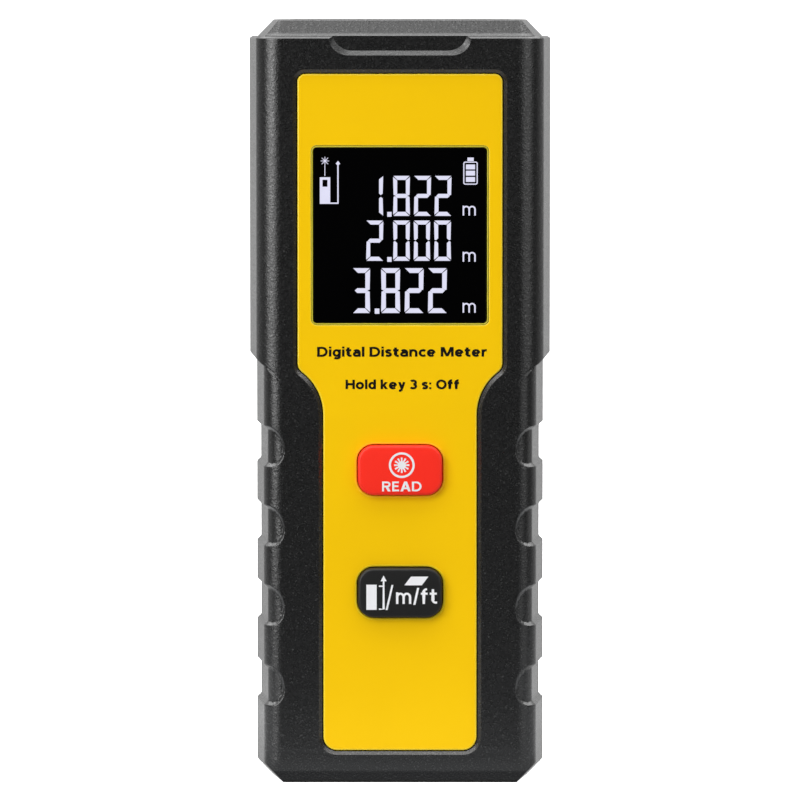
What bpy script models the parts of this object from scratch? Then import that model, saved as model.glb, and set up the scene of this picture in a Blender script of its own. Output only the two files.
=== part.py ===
"""Pocket laser distance meter, standing on its lower end face.

Row frame: +Z up along the length, -Y is the face with the display and the keys, +X to the right of someone who
reads the display. The origin is at the centre of the lower end of the bounding box.
All dimensions below are in millimetres; MM turns them into metres when a mesh is made.
"""

import math

import bmesh
import bpy
from mathutils import Matrix, Vector

MM = 0.001
GAP = 0.3  # running gap kept between neighbouring pieces

# ---------------------------------------------------------------- overall
LENGTH = 105.0
Y_FRONT = -11.4  # front plane of the housing
Y_BACK = 12.2  # back plane of the housing
Y_PART = 0.4  # parting plane between the two shells
HALF_DEPTH = Y_BACK - Y_PART
WALL = 1.8

# outline, as half-widths at the parting plane
HW_HEAD = 20.8  # raised collar round the display
HW_GRIP = 19.86  # lower, slimmer grip
GRIP_STEP = HW_HEAD - HW_GRIP
NOTCH_DEPTH = 0.53  # finger notches cut into the grip's edge
NOTCH_Z = (46.59, 35.65, 24.7, 13.67)  # their centres
SIDE_DRAFT = 1.12  # a side leans in by this much towards the front
EDGE_R = 3.64  # rounded edge between side and front
EDGE_TURN = 60.0  # degrees that the rounded edge turns before the side starts
CHAMFER_LOW = 2.57  # lower corner chamfer at the front edge, along X and Z
CHAMFER_LOW_MID = 2.16  # its height at the parting plane
BEVEL_LOW = (1.8, 2.2)  # lower bevel, along Y and Z
Z_COLLAR = 102.26  # the collar's upper rim
RIM = 0.34  # chamfer on the rim
Z_RIM = 102.6

# ---------------------------------------------------------------- face
PANEL_Y = (-11.05, -9.85)
PANEL_HW = 14.05
PANEL_HW_LOW = 10.54
PANEL_Z = (4.61, 97.61)
POCKET_FLOOR_Y = -9.55
FLOOR_INNER_Y = -8.35
WINDOW_HW = 11.85
WINDOW_Z = (63.52, 87.47)
BUTTON_W, BUTTON_H, BUTTON_R = 11.6, 6.84, 2.2
MEASURE_Z, UNITS_Z = 43.3, 26.44
BUTTON_TOP_Y = -12.2
BUTTON_TRAVEL = 0.6

# ---------------------------------------------------------------- inside
CAVITY_HW = 17.2
PCB_Y = (-4.2, -3.2)
OPTIC_Y = 3.2
RX_X, TX_X = -5.2, 7.2  # receiver axis and laser axis
CELL_R, CELL_L, CELL_X, CELL_Y = 5.2, 44.5, 5.4, 4.75
BAY_HW = 11.0
BAY_Z = (6.6, 57.4)
CASE_SCREWS = ((14.5, 97.0), (-14.5, 97.0), (14.5, 9.0), (-14.5, 9.0))
PCB_SCREWS = ((15.0, 90.0), (-15.0, 90.0), (15.0, 24.0), (-15.0, 24.0))

# ---------------------------------------------------------------- battery door
DOOR_HW = 11.6
DOOR_Z = (9.1, 58.0)
DOOR_Y = (10.9, 12.2)
HINGE_Y, HINGE_Z = 12.2, 9.1
LATCH_HW = 4.3
LATCH_Z = (52.3, 58.0)
LATCH_TRAVEL = 1.0

for old in list(bpy.data.objects):
    bpy.data.objects.remove(old)


# ================================================================ helpers
def material(name, colour, roughness, metallic=0.0, alpha=1.0, transmission=0.0):
    mat = bpy.data.materials.new(name)
    mat.use_nodes = True
    shader = mat.node_tree.nodes["Principled BSDF"]
    shader.inputs["Base Color"].default_value = (*colour, 1.0)
    shader.inputs["Roughness"].default_value = roughness
    shader.inputs["Metallic"].default_value = metallic
    shader.inputs["Alpha"].default_value = alpha
    shader.inputs["Transmission Weight"].default_value = transmission
    return mat


def solid(bm, name, mat=None, origin=(0, 0, 0), smooth=True):
    """One object from a bmesh drawn in millimetres, with its origin at the given point."""
    bmesh.ops.recalc_face_normals(bm, faces=bm.faces)
    bm.transform(Matrix.Translation(-Vector(origin)))
    bm.transform(Matrix.Scale(MM, 4))
    mesh = bpy.data.meshes.new(name)
    bm.to_mesh(mesh)
    bm.free()
    obj = bpy.data.objects.new(name, mesh)
    obj.location = Vector(origin) * MM
    bpy.context.scene.collection.objects.link(obj)
    if mat is not None:
        mesh.materials.append(mat)
    if smooth:
        mesh.shade_smooth()
        mesh.set_sharp_from_angle(angle=math.radians(32))
    return obj


def prism(outline, axis, lo, hi):
    """A polygon pushed along an axis. The outline holds (x, z) for axis y, (x, y) for z and (y, z) for x."""
    place = {
        "y": lambda p, t: (p[0], t, p[1]),
        "z": lambda p, t: (p[0], p[1], t),
        "x": lambda p, t: (t, p[0], p[1]),
    }[axis]
    bm = bmesh.new()
    low = [bm.verts.new(place(p, lo)) for p in outline]
    high = [bm.verts.new(place(p, hi)) for p in outline]
    bm.faces.new(low)
    bm.faces.new(high)
    for i in range(len(outline)):
        j = (i + 1) % len(outline)
        bm.faces.new((low[i], low[j], high[j], high[i]))
    return bm


def loft(rings, cap=True):
    """Joins rings of equal length, in 3-D, and closes both ends."""
    bm = bmesh.new()
    rows = [[bm.verts.new(p) for p in ring] for ring in rings]
    for a, b in zip(rows, rows[1:]):
        for i in range(len(a)):
            j = (i + 1) % len(a)
            bm.faces.new((a[i], a[j], b[j], b[i]))
    if cap:
        bm.faces.new(rows[0])
        bm.faces.new(rows[-1])
    return bm


def lathe(profile, axis, centre, steps=24):
    """A closed profile of (radius, position) turned about an axis through the centre."""
    rings = []
    for k in range(steps):
        a = 2 * math.pi * k / steps
        c, s = math.cos(a), math.sin(a)
        ring = []
        for r, t in profile:
            if axis == "z":
                ring.append((centre[0] + r * c, centre[1] + r * s, t))
            else:
                ring.append((centre[0] + r * c, t, centre[1] + r * s))
        rings.append(ring)
    bm = bmesh.new()
    rows = [[bm.verts.new(p) for p in ring] for ring in rings]
    n = len(profile)
    for k in range(steps):
        a, b = rows[k], rows[(k + 1) % steps]
        for i in range(n - 1):
            bm.faces.new((a[i], a[i + 1], b[i + 1], b[i]))
    if profile[0][0] > 1e-6 and profile[-1][0] > 1e-6 and profile[0] != profile[-1]:
        for i in (0, n - 1):
            bm.faces.new([row[i] for row in rows])
    bmesh.ops.remove_doubles(bm, verts=bm.verts, dist=1e-4)
    return bm


def cylinder(r, axis, centre, lo, hi, steps=24):
    return lathe([(r, lo), (r, hi)], axis, centre, steps)


def rounded(hw, hh, r, n=4, cx=0.0, cy=0.0):
    """A rectangle with round corners, as points that run anticlockwise."""
    points = []
    for qx, qy, start in ((1, -1, -90), (1, 1, 0), (-1, 1, 90), (-1, -1, 180)):
        for k in range(n + 1):
            a = math.radians(start + 90 * k / n)
            points.append(
                (
                    cx + qx * (hw - r) + r * math.cos(a),
                    cy + qy * (hh - r) + r * math.sin(a),
                )
            )
    return points


def box(x0, x1, y0, y1, z0, z1):
    return prism([(x0, z0), (x1, z0), (x1, z1), (x0, z1)], "y", y0, y1)


def merged(base, others, operation):
    """Base with the others cut from it or joined to it, each a bmesh, through Blender's exact solver."""
    target = solid(base, "base", smooth=False)
    helpers = []
    for bm in others:
        tool = solid(bm, "tool", smooth=False)
        tool.hide_render = True
        helpers.append(tool)
        mod = target.modifiers.new("b", "BOOLEAN")
        mod.operation = operation
        mod.solver = "EXACT"
        mod.object = tool
    bpy.context.view_layer.update()
    graph = bpy.context.evaluated_depsgraph_get()
    mesh = bpy.data.meshes.new_from_object(target.evaluated_get(graph))
    out = bmesh.new()
    out.from_mesh(mesh)
    out.transform(Matrix.Scale(1 / MM, 4))
    for obj in [target, *helpers]:
        bpy.data.objects.remove(obj)
    bpy.data.meshes.remove(mesh)
    bmesh.ops.remove_doubles(out, verts=out.verts, dist=2e-4)
    return out


def minus(base, *cutters):
    return merged(base, cutters, "DIFFERENCE")


def plus(base, *more):
    return merged(base, more, "UNION")


def trimmed(bm, point, normal):
    """Cuts away what lies on the normal's side of a plane and closes the cut."""
    cut = bmesh.ops.bisect_plane(
        bm,
        geom=bm.verts[:] + bm.edges[:] + bm.faces[:],
        plane_co=point,
        plane_no=normal,
        clear_outer=True,
        dist=1e-5,
    )
    edges = [e for e in cut["geom_cut"] if isinstance(e, bmesh.types.BMEdge)]
    bmesh.ops.edgeloop_fill(bm, edges=edges)
    return bm


def between(x, table):
    """Straight-line interpolation in a table of (x, y), x rising."""
    if x <= table[0][0]:
        return table[0][1]
    for (x0, y0), (x1, y1) in zip(table, table[1:]):
        if x <= x1:
            return y0 + (y1 - y0) * (x - x0) / (x1 - x0)
    return table[-1][1]


# ================================================================ the outer form
# Half of the cross-section, as stations from the parting plane (0) over the side and the rounded edge to the flat.
# Each is (inward distance from the half-width, depth from the parting plane, outward normal).
def stations(turns=4):
    found = [(0.0, GAP / 2, (1.0, 0.0))]
    side_end = HALF_DEPTH - EDGE_R * (1 - math.cos(math.radians(EDGE_TURN)))
    for k in range(turns + 1):
        a = math.radians(EDGE_TURN * (1 - k / turns))
        reach = EDGE_R * math.sin(math.radians(EDGE_TURN)) - EDGE_R * math.sin(a)
        depth = HALF_DEPTH - EDGE_R * (1 - math.cos(a))
        found.append((SIDE_DRAFT + reach, depth, (math.sin(a), math.cos(a))))
    return found, side_end


STEP_LINE = (
    (0.0, 58.95),
    (1.12, 58.5),
    (1.8, 57.8),
    (3.1, 57.1),
    (3.9, 56.3),
    (5.4, 55.5),
)  # the collar's lower edge, by inward distance
STEP_RISE = 1.1  # height of the sloping step under that edge
NOTCH_ABOVE = ((0.0, 2.8), (1.12, 2.65), (2.0, 2.1), (2.8, 1.4), (4.3, 0.1))
NOTCH_BELOW = ((0.0, 2.8), (1.12, 2.7), (2.0, 2.4), (2.8, 2.1), (4.3, 0.95))


def outer_half(side):
    """One half of the housing's outer form. side is -1 for the front and +1 for the back."""
    cols, side_end = stations()
    rows = []

    def row(height, shift):
        half = []
        for inward, depth, _ in cols:
            half.append((HW_HEAD - shift(inward) - inward, depth, height(inward)))
        rows.append(half)

    row(lambda s: 0.0, lambda s: GRIP_STEP)
    for centre in reversed(NOTCH_Z):
        for edge, deep in ((-1, 0), (-1, 1), (1, 1), (1, 0)):

            def height(s, edge=edge, deep=deep, centre=centre):
                half = between(s, NOTCH_ABOVE if edge > 0 else NOTCH_BELOW)
                if deep:
                    half = max(half - NOTCH_DEPTH, 0.5 * half)
                return centre + edge * half

            def shift(s, deep=deep):
                return GRIP_STEP + (NOTCH_DEPTH if deep and s < 3.5 else 0.0)

            row(height, shift)
    row(lambda s: between(s, STEP_LINE) - STEP_RISE, lambda s: GRIP_STEP)
    row(lambda s: between(s, STEP_LINE), lambda s: 0.0)
    row(lambda s: Z_COLLAR, lambda s: 0.0)
    rows.append(
        [
            (HW_HEAD - inward - RIM * n[0], depth - RIM * n[1], Z_RIM)
            for inward, depth, n in cols
        ]
    )
    # above the rim: side, a slanting corner facet, and a bevel that runs up to the end face
    for z, hw, inner, corner, face in (
        (Z_RIM + 0.08, 19.65, 18.46, 16.73, HALF_DEPTH - 0.45),
        (LENGTH, 17.5, 16.6, 16.3, HALF_DEPTH - 1.78),
    ):
        half = [(hw, GAP / 2, z)]
        count = len(cols) - 2
        for k in range(count + 1):
            t = k / count
            half.append(
                (inner + (corner - inner) * t, side_end + (face - side_end) * t, z)
            )
        rows.append(half)
    bm = bmesh.new()
    rings = []
    for half in rows:
        ring = [(x, Y_PART + side * d, z) for x, d, z in half]
        ring += [(-x, Y_PART + side * d, z) for x, d, z in reversed(half)]
        rings.append([bm.verts.new(p) for p in ring])
    for a, b in zip(rings, rings[1:]):
        for i in range(len(a) - 1):
            bm.faces.new((a[i], a[i + 1], b[i + 1], b[i]))
    bm.faces.new(rings[0])
    bm.faces.new(rings[-1])
    bm.faces.new([r[0] for r in rings] + [r[-1] for r in reversed(rings)])
    bmesh.ops.recalc_face_normals(bm, faces=bm.faces)
    edge_x, edge_y = HW_GRIP - SIDE_DRAFT, Y_PART + side * side_end
    for sign in (-1, 1):
        foot = Vector((sign * (edge_x - CHAMFER_LOW), edge_y, 0.0))
        top = Vector((sign * edge_x, edge_y, CHAMFER_LOW))
        middle = Vector((sign * HW_GRIP, Y_PART, CHAMFER_LOW_MID))
        normal = (top - foot).cross(middle - foot).normalized()
        if normal.z > 0:
            normal = -normal
        trimmed(bm, foot, normal)
    by, bz = BEVEL_LOW
    face_y = Y_PART + side * HALF_DEPTH
    trimmed(bm, (0, face_y, bz), Vector((0, side * bz, -by)).normalized())
    bmesh.ops.recalc_face_normals(bm, faces=bm.faces)
    return bm


def cavity_outline(grow=0.0):
    hw = CAVITY_HW + grow
    lo, hi = WALL - grow, LENGTH - WALL + grow
    return [
        (-hw + 2.8, lo),
        (hw - 2.8, lo),
        (hw, lo + 3.0),
        (hw, hi - 1.6),
        (hw - 1.2, hi),
        (-hw + 1.2, hi),
        (-hw, hi - 1.6),
        (-hw, lo + 3.0),
    ]


def panel_outline(grow=0.0, n=5):
    """The face panel's outline, mirrored about X = 0: a wide head, an S-shaped shoulder and a narrow tail."""
    hw, low = PANEL_HW + grow, PANEL_HW_LOW + grow
    z0, z1 = PANEL_Z[0] - grow, PANEL_Z[1] + grow
    right = []
    r = 1.9 + grow
    for k in range(n + 1):  # lower corner
        a = math.radians(-90 + 90 * k / n)
        right.append((low - r + r * math.cos(a), z0 + r + r * math.sin(a)))
    # the shoulder: a hollow arc of radius 7.3 round a centre outside the panel, then a small round corner
    big = 7.3 - grow
    cx, cz = PANEL_HW_LOW + 7.3, 50.9
    for k in range(n + 1):
        a = math.radians(180 - 53.4 * k / n)
        right.append((cx + big * math.cos(a), cz + big * math.sin(a)))
    small = 1.6 + grow
    ex, ez = cx - 7.3 * math.cos(math.radians(53.4)), cz + 7.3 * math.sin(
        math.radians(53.4)
    )
    # centre of the small corner: it touches the straight side, and turns back by the same angle
    sx = PANEL_HW - 1.6
    turn = math.radians(53.4)
    sz = ez + (sx + 1.6 * math.cos(turn) - ex) / math.tan(turn)
    sz += 1.6 * math.sin(turn)
    for k in range(n + 1):
        a = math.radians(-53.4 + 53.4 * k / n)
        right.append((sx + small * math.cos(a), sz + small * math.sin(a)))
    r = 1.1 + grow
    for k in range(n + 1):  # upper corner
        a = math.radians(90 * k / n)
        right.append((hw - r + r * math.cos(a), z1 - r + r * math.sin(a)))
    return right + [(-x, z) for x, z in reversed(right)]


def button_outline(z, grow=0.0, n=4):
    return rounded(
        BUTTON_W / 2 + grow, BUTTON_H / 2 + grow, BUTTON_R + grow, n, 0.0, z
    )


# ================================================================ materials
black = material("black_textured_plastic", (0.018, 0.018, 0.019), 0.55)
yellow = material("yellow_panel", (0.80, 0.52, 0.0), 0.4)
tint = material("display_tint", (0.004, 0.004, 0.005), 0.08)
red = material("red_key", (0.80, 0.035, 0.018), 0.45)
dark_key = material("black_key", (0.02, 0.02, 0.02), 0.5)
gloss = material("gloss_black", (0.01, 0.01, 0.01), 0.12)
clear = material("clear_optic", (0.75, 0.85, 0.9), 0.02, alpha=0.4, transmission=0.9)
board = material("board_green", (0.01, 0.12, 0.05), 0.45)
chip = material("chip_black", (0.02, 0.02, 0.022), 0.5)
tin = material("tinned_steel", (0.6, 0.6, 0.6), 0.3, 1.0)
steel = material("screw_steel", (0.35, 0.35, 0.36), 0.35, 1.0)
brass = material("brass", (0.75, 0.55, 0.2), 0.3, 1.0)
alloy = material("cast_alloy", (0.5, 0.5, 0.52), 0.45, 1.0)
rubber = material("seal_rubber", (0.03, 0.03, 0.03), 0.8)
foam = material("black_foam", (0.03, 0.03, 0.03), 0.95)
lcd = material("lcd_glass", (0.05, 0.06, 0.07), 0.1)
white = material("light_guide", (0.85, 0.85, 0.85), 0.4)
filter_red = material("filter_red", (0.4, 0.02, 0.03), 0.05)
cell = material("cell_jacket", (0.02, 0.10, 0.25), 0.35, 0.3)
label = material("label_film", (0.30, 0.30, 0.31), 0.4)

# ================================================================ housing
bezel_hole = rounded(15.3, 6.5, 2.9, 4, 0.0, OPTIC_Y)

recess_front = []
for hw_top, hw_low, z_low, y in (
    (9.75, 7.3, 99.95, Y_FRONT - 0.3),
    (9.05, 6.7, 100.8, Y_FRONT + 0.55),
):
    right = []
    for k in range(5):
        a = math.radians(-90 + 72 * k / 4)
        right.append((hw_low + 1.9 * math.cos(a), z_low + 1.9 + 1.9 * math.sin(a)))
    right.append((hw_top + 1.0, LENGTH + 1))
    pts = right + [(-x, z) for x, z in reversed(right)]
    recess_front.append([(x, y, z) for x, z in pts])

front = outer_half(-1)
front = minus(
    front,
    prism(cavity_outline(), "y", FLOOR_INNER_Y, Y_PART + 1),
    prism(panel_outline(GAP), "y", Y_FRONT - 2, POCKET_FLOOR_Y),
    prism(rounded(11.3, 11.35, 0.5, 2, 0.0, 75.25), "y", Y_FRONT, FLOOR_INNER_Y + 1),
    prism(button_outline(MEASURE_Z, 0.35), "y", Y_FRONT, FLOOR_INNER_Y + 1),
    prism(button_outline(UNITS_Z, 0.35), "y", Y_FRONT, FLOOR_INNER_Y + 1),
    prism(bezel_hole, "z", LENGTH - 4, LENGTH + 2),
    loft(recess_front),
)
# rebate for the seal, down one side, along the foot and up the other
seal_path = cavity_outline(1.0)
rebate = [p for p in seal_path if p[1] < 50]
rebate = [(-CAVITY_HW - 1.0, 99.0), *rebate[3:], *rebate[:3], (CAVITY_HW + 1.0, 99.0)]
front = minus(front, prism(rebate, "y", -0.6, Y_PART + 1))
foot = FLOOR_INNER_Y - 0.6
posts = [
    lathe([(0.0, foot), (2.1, foot), (2.1, 0.1), (1.35, 0.1), (1.35, -6.6), (0.0, -6.6)], "y", (x, z), 16)
    for x, z in CASE_SCREWS
]
posts += [
    lathe([(0.0, foot), (1.6, foot), (1.6, -4.5), (1.05, -4.5), (1.05, -7.8), (0.0, -7.8)], "y", (x, z), 12)
    for x, z in PCB_SCREWS
]
front = plus(front, *posts)
solid(front, "front_shell", black)

rear = outer_half(1)
rear = minus(rear, prism(cavity_outline(), "y", Y_PART - 1, Y_BACK - WALL))
rear = plus(
    rear,
    box(-12.0, 12.0, -1.6, 10.7, BAY_Z[0] - 1.0, BAY_Z[1] + 1.0),
    *[cylinder(2.6, "y", (x, z), 0.7, 11.0, 20) for x, z in CASE_SCREWS],
)
rear = minus(
    rear,
    box(-BAY_HW, BAY_HW, -0.6, Y_BACK - WALL, *BAY_Z),
    box(-BAY_HW, BAY_HW, 10.0, 11.0, DOOR_Z[0] - GAP, BAY_Z[1]),
    prism(
        rounded(DOOR_HW + GAP, (DOOR_Z[1] - DOOR_Z[0]) / 2 + GAP, 1.0, 3, 0.0, sum(DOOR_Z) / 2),
        "y",
        10.6,
        Y_BACK + 1,
    ),
    prism(bezel_hole, "z", LENGTH - 4, LENGTH + 2),
    prism(rounded(12.2, 15.2, 1.2, 3, 0.0, 79.5), "y", 11.5, Y_BACK + 1),
    *[cylinder(2.05, "y", (x, z), 8.8, Y_BACK + 1, 20) for x, z in CASE_SCREWS],
    *[cylinder(1.35, "y", (x, z), 0.0, 9.5, 12) for x, z in CASE_SCREWS],
)
solid(rear, "rear_shell", black)

seal_outer = cavity_outline(0.7)
seal_inner = cavity_outline(0.2)
outer_low = [p for p in seal_outer if p[1] < 50]
inner_low = [p for p in seal_inner if p[1] < 50]
ring = [(-CAVITY_HW - 0.7, 98.7), outer_low[3], outer_low[0], outer_low[1], outer_low[2]]
ring += [(CAVITY_HW + 0.7, 98.7), (CAVITY_HW + 0.2, 98.7)]
ring += [inner_low[2], inner_low[1], inner_low[0], inner_low[3], (-CAVITY_HW - 0.2, 98.7)]
solid(prism(ring, "y", -0.3, 0.25), "case_seal", rubber, smooth=False)

# ================================================================ face
panel = prism(panel_outline(), "y", *PANEL_Y)
panel = minus(
    panel,
    prism(
        rounded(WINDOW_HW + GAP, sum((-WINDOW_Z[0], WINDOW_Z[1])) / 2 + GAP, 0.7, 3, 0.0, sum(WINDOW_Z) / 2),
        "y",
        -13,
        -8,
    ),
    prism(button_outline(MEASURE_Z, GAP), "y", -13, -8),
    prism(button_outline(UNITS_Z, GAP), "y", -13, -8),
)
solid(panel, "face_panel", yellow)
solid(
    prism(
        rounded(WINDOW_HW, sum((-WINDOW_Z[0], WINDOW_Z[1])) / 2, 0.5, 3, 0.0, sum(WINDOW_Z) / 2),
        "y",
        -10.9,
        -9.9,
    ),
    "display_window",
    tint,
)


def key(name, z, mat):
    rings = []
    for grow, y in (
        (0.9, -7.25),
        (0.9, -8.05),
        (0.0, -8.05),
        (0.0, BUTTON_TOP_Y + 0.35),
        (-0.12, BUTTON_TOP_Y + 0.1),
        (-0.35, BUTTON_TOP_Y),
    ):
        rings.append([(x, y, h) for x, h in button_outline(z, grow)])
    cap = loft([rings[0], rings[1], rings[2], rings[3], rings[4], rings[5]])
    return solid(cap, name, mat, origin=(0, BUTTON_TOP_Y, z))


def tact_switch(name, z, cap):
    case = prism(rounded(3.1, 3.1, 0.4, 2, 0.0, z), "y", -6.4, PCB_Y[0] - GAP)
    case = minus(case, cylinder(1.9, "y", (0.0, z), -8.0, -4.75, 16))
    solid(case, f"{name}_switch_body", chip)
    stem = lathe([(0.0, -5.6), (1.6, -5.6), (1.6, -6.8), (1.45, -6.95), (0.0, -6.95)], "y", (0.0, z), 16)
    stem = solid(stem, f"{name}_switch_plunger", white, origin=(0, BUTTON_TOP_Y, z))
    stem.parent = cap
    stem.location = (0, 0, 0)


measure_key = key("measure_button", MEASURE_Z, red)
units_key = key("units_button", UNITS_Z, dark_key)
tact_switch("measure", MEASURE_Z, measure_key)
tact_switch("units", UNITS_Z, units_key)

# ================================================================ display stack and board
frame = prism([(-12.9, 61.5), (12.9, 61.5), (12.9, 90.0), (-12.9, 90.0)], "y", -8.05, -7.45)
frame = minus(frame, box(-11.5, 11.5, -9, -7, 63.7, 86.8))
solid(frame, "display_gasket", foam, smooth=False)
solid(box(-12.9, 12.9, -7.15, -6.05, 61.5, 90.0), "lcd_glass", lcd, smooth=False)
solid(box(-12.4, 12.4, -5.75, -4.5, 64.4, 89.6), "lcd_backlight", white, smooth=False)
solid(box(-12.0, 12.0, -5.75, -4.5, 62.0, 63.9), "lcd_contact_strip", rubber, smooth=False)

pcb = prism(rounded(16.6, 38.25, 1.0, 2, 0.0, 56.25), "y", *PCB_Y)
pcb = minus(pcb, *[cylinder(1.05, "y", (x, z), -6, 0, 12) for x, z in PCB_SCREWS])
solid(pcb, "main_board", board)
solid(box(-14.0, -7.0, -5.5, -4.5, 31.0, 38.0), "processor_chip", chip, smooth=False)
solid(box(-8.0, 8.0, -2.9, -1.9, 44.0, 54.0), "shield_can", tin, smooth=False)
solid(
    lathe([(0.0, -4.5), (4.0, -4.5), (4.0, -7.2), (3.8, -7.4), (1.0, -7.4), (1.0, -6.6), (0.0, -6.6)], "y", (11.2, 34.5), 24),
    "buzzer",
    chip,
)

# ================================================================ optics
block = plus(
    box(-11.5, 1.1, -2.6, 9.2, 62.0, 101.3), box(0.5, 11.4, -2.6, 9.2, 79.0, 101.3)
)
receive = [(0.0, 102.3), (5.5, 102.3), (5.5, 96.2), (4.9, 96.2), (2.3, 67.4), (2.9, 67.4), (2.9, 61.0), (0.0, 61.0)]
emit = [(0.0, 102.3), (3.4, 102.3), (3.4, 80.4), (1.4, 80.4), (1.4, 78.0), (0.0, 78.0)]
block = minus(
    block,
    lathe(list(reversed(receive)), "z", (RX_X, OPTIC_Y), 24),
    lathe(list(reversed(emit)), "z", (TX_X, OPTIC_Y), 20),
)
solid(block, "optical_block", alloy)
lens = [(0.0, 96.5)]
for k in range(1, 5):
    r = 5.2 * k / 4
    lens.append((r, 96.5 + 1.1 * (k / 4) ** 2))
for k in range(4, 0, -1):
    r = 5.2 * k / 4
    lens.append((r, 100.6 - 1.6 * (k / 4) ** 2))
lens.append((0.0, 100.6))
solid(lathe(lens, "z", (RX_X, OPTIC_Y), 24), "receiver_lens", clear)
solid(cylinder(2.55, "z", (RX_X, OPTIC_Y), 65.8, 66.7, 16), "bandpass_filter", filter_red)
solid(
    lathe([(0.0, 62.2), (2.6, 62.2), (2.6, 63.0), (2.2, 63.0), (2.2, 65.4), (0.0, 65.4)], "z", (RX_X, OPTIC_Y), 16),
    "photodiode",
    tin,
)
tube = [(3.1, 81.0), (3.1, 100.8), (2.5, 100.8), (2.5, 81.0), (3.1, 81.0)]
solid(lathe(tube, "z", (TX_X, OPTIC_Y), 24), "laser_barrel", brass)
solid(
    lathe([(0.0, 82.0), (2.2, 82.0), (2.2, 83.2), (1.7, 83.2), (1.7, 85.6), (0.0, 85.6)], "z", (TX_X, OPTIC_Y), 16),
    "laser_diode",
    brass,
)
solid(
    lathe([(0.0, 97.6), (2.2, 97.9), (2.2, 98.9), (1.1, 99.5), (0.0, 99.7)], "z", (TX_X, OPTIC_Y), 16),
    "collimator_lens",
    clear,
)
bezel = plus(
    prism(rounded(15.0, 6.2, 2.6, 4, 0.0, OPTIC_Y), "z", 102.0, 104.7),
    prism(rounded(15.8, 6.9, 2.9, 4, 0.0, OPTIC_Y), "z", 101.7, 102.9),
)
bezel = minus(
    bezel,
    lathe([(0.0, 101.0), (4.9, 101.0), (4.9, 103.1), (5.6, 103.1), (5.6, 106.0), (0.0, 106.0)], "z", (RX_X, OPTIC_Y), 24),
    lathe([(0.0, 101.0), (1.9, 101.0), (1.9, 103.1), (2.6, 103.1), (2.6, 106.0), (0.0, 106.0)], "z", (TX_X, OPTIC_Y), 16),
)
solid(bezel, "lens_bezel", gloss)
solid(cylinder(5.3, "z", (RX_X, OPTIC_Y), 103.4, 104.3, 24), "receiver_window", clear)
solid(cylinder(2.3, "z", (TX_X, OPTIC_Y), 103.4, 104.3, 16), "laser_window", clear)


# ================================================================ power
def aaa_cell(name, x, z0, up):
    rows = [(0.0, 0.0), (4.6, 0.0), (5.1, 0.3), (CELL_R, 0.8), (CELL_R, 42.9), (4.9, 43.5), (1.9, 43.7), (1.9, CELL_L), (0.0, CELL_L)]
    if not up:
        rows = [(r, CELL_L - t) for r, t in reversed(rows)]
    solid(lathe([(r, z0 + t) for r, t in rows], "z", (x, CELL_Y), 24), name, cell)


def contact_spring(name, x, z0, z1, r0, r1):
    turns, per_turn, sides, wire = 4, 10, 5, 0.3
    rings = []
    for k in range(turns * per_turn + 1):
        t = k / (turns * per_turn)
        a = 2 * math.pi * turns * t
        r = r0 + (r1 - r0) * t
        # the end coils lie flat
        lift = min(max((t - 0.12) / 0.76, 0.0), 1.0)
        z = z0 + wire + (z1 - z0 - 2 * wire) * (0.08 * t + 0.92 * lift)
        centre = Vector((x + r * math.cos(a), CELL_Y + r * math.sin(a), z))
        out = Vector((math.cos(a), math.sin(a), 0))
        ring = []
        for j in range(sides):
            b = 2 * math.pi * j / sides
            ring.append(centre + out * wire * math.cos(b) + Vector((0, 0, 1)) * wire * math.sin(b))
        rings.append(ring)
    solid(loft(rings), name, tin)


aaa_cell("battery_left", -CELL_X, 11.6, True)
aaa_cell("battery_right", CELL_X, 7.65, False)
contact_spring("spring_lower", -CELL_X, 7.6, 11.3, 3.4, 2.4)
contact_spring("spring_upper", CELL_X, 52.45, 56.2, 2.4, 3.4)
solid(box(-9.6, -1.4, 1.0, 8.6, 56.5, 56.9), "contact_positive", tin, smooth=False)
solid(box(1.4, 9.6, 1.0, 8.6, 56.5, 56.9), "contact_negative", tin, smooth=False)
solid(box(-9.8, 9.8, 1.0, 8.4, 6.9, 7.3), "contact_bridge", tin, smooth=False)

door_shape = rounded(DOOR_HW, (DOOR_Z[1] - DOOR_Z[0]) / 2, 0.8, 3, 0.0, sum(DOOR_Z) / 2)
door = prism(door_shape, "y", *DOOR_Y)
tabs = []
for sign in (-1, 1):
    x0, x1 = sorted((sign * 9.2, sign * 10.7))
    tabs += [
        box(x0, x1, 9.1, 10.1, 7.7, 10.3),
        box(x0, x1, 9.1, 11.3, 9.1, 10.3),
    ]
door = plus(door, *tabs)
door = minus(door, box(-LATCH_HW - GAP, LATCH_HW + GAP, 9, 13, LATCH_Z[0] - LATCH_TRAVEL - GAP, 60))
hinge = (0.0, HINGE_Y, HINGE_Z)
door_obj = solid(door, "battery_door", black, origin=hinge)
latch = plus(
    box(-LATCH_HW, LATCH_HW, DOOR_Y[0], DOOR_Y[1], *LATCH_Z),
    box(-3.0, 3.0, 9.9, 11.3, 56.0, 57.1),
)
latch_origin = Vector((0.0, 12.2, 55.0))
latch_obj = solid(latch, "battery_latch", black, origin=latch_origin, smooth=False)
latch_obj.parent = door_obj
latch_obj.location = (latch_origin - Vector(hinge)) * MM
pad = solid(box(-8.0, 8.0, 10.2, 10.6, 26.0, 40.0), "battery_pad", foam, origin=hinge, smooth=False)
pad.parent = door_obj
pad.location = (0, 0, 0)
solid(prism(rounded(11.8, 14.8, 0.9, 3, 0.0, 79.5), "y", 11.8, 12.05), "rear_label", label)


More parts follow.
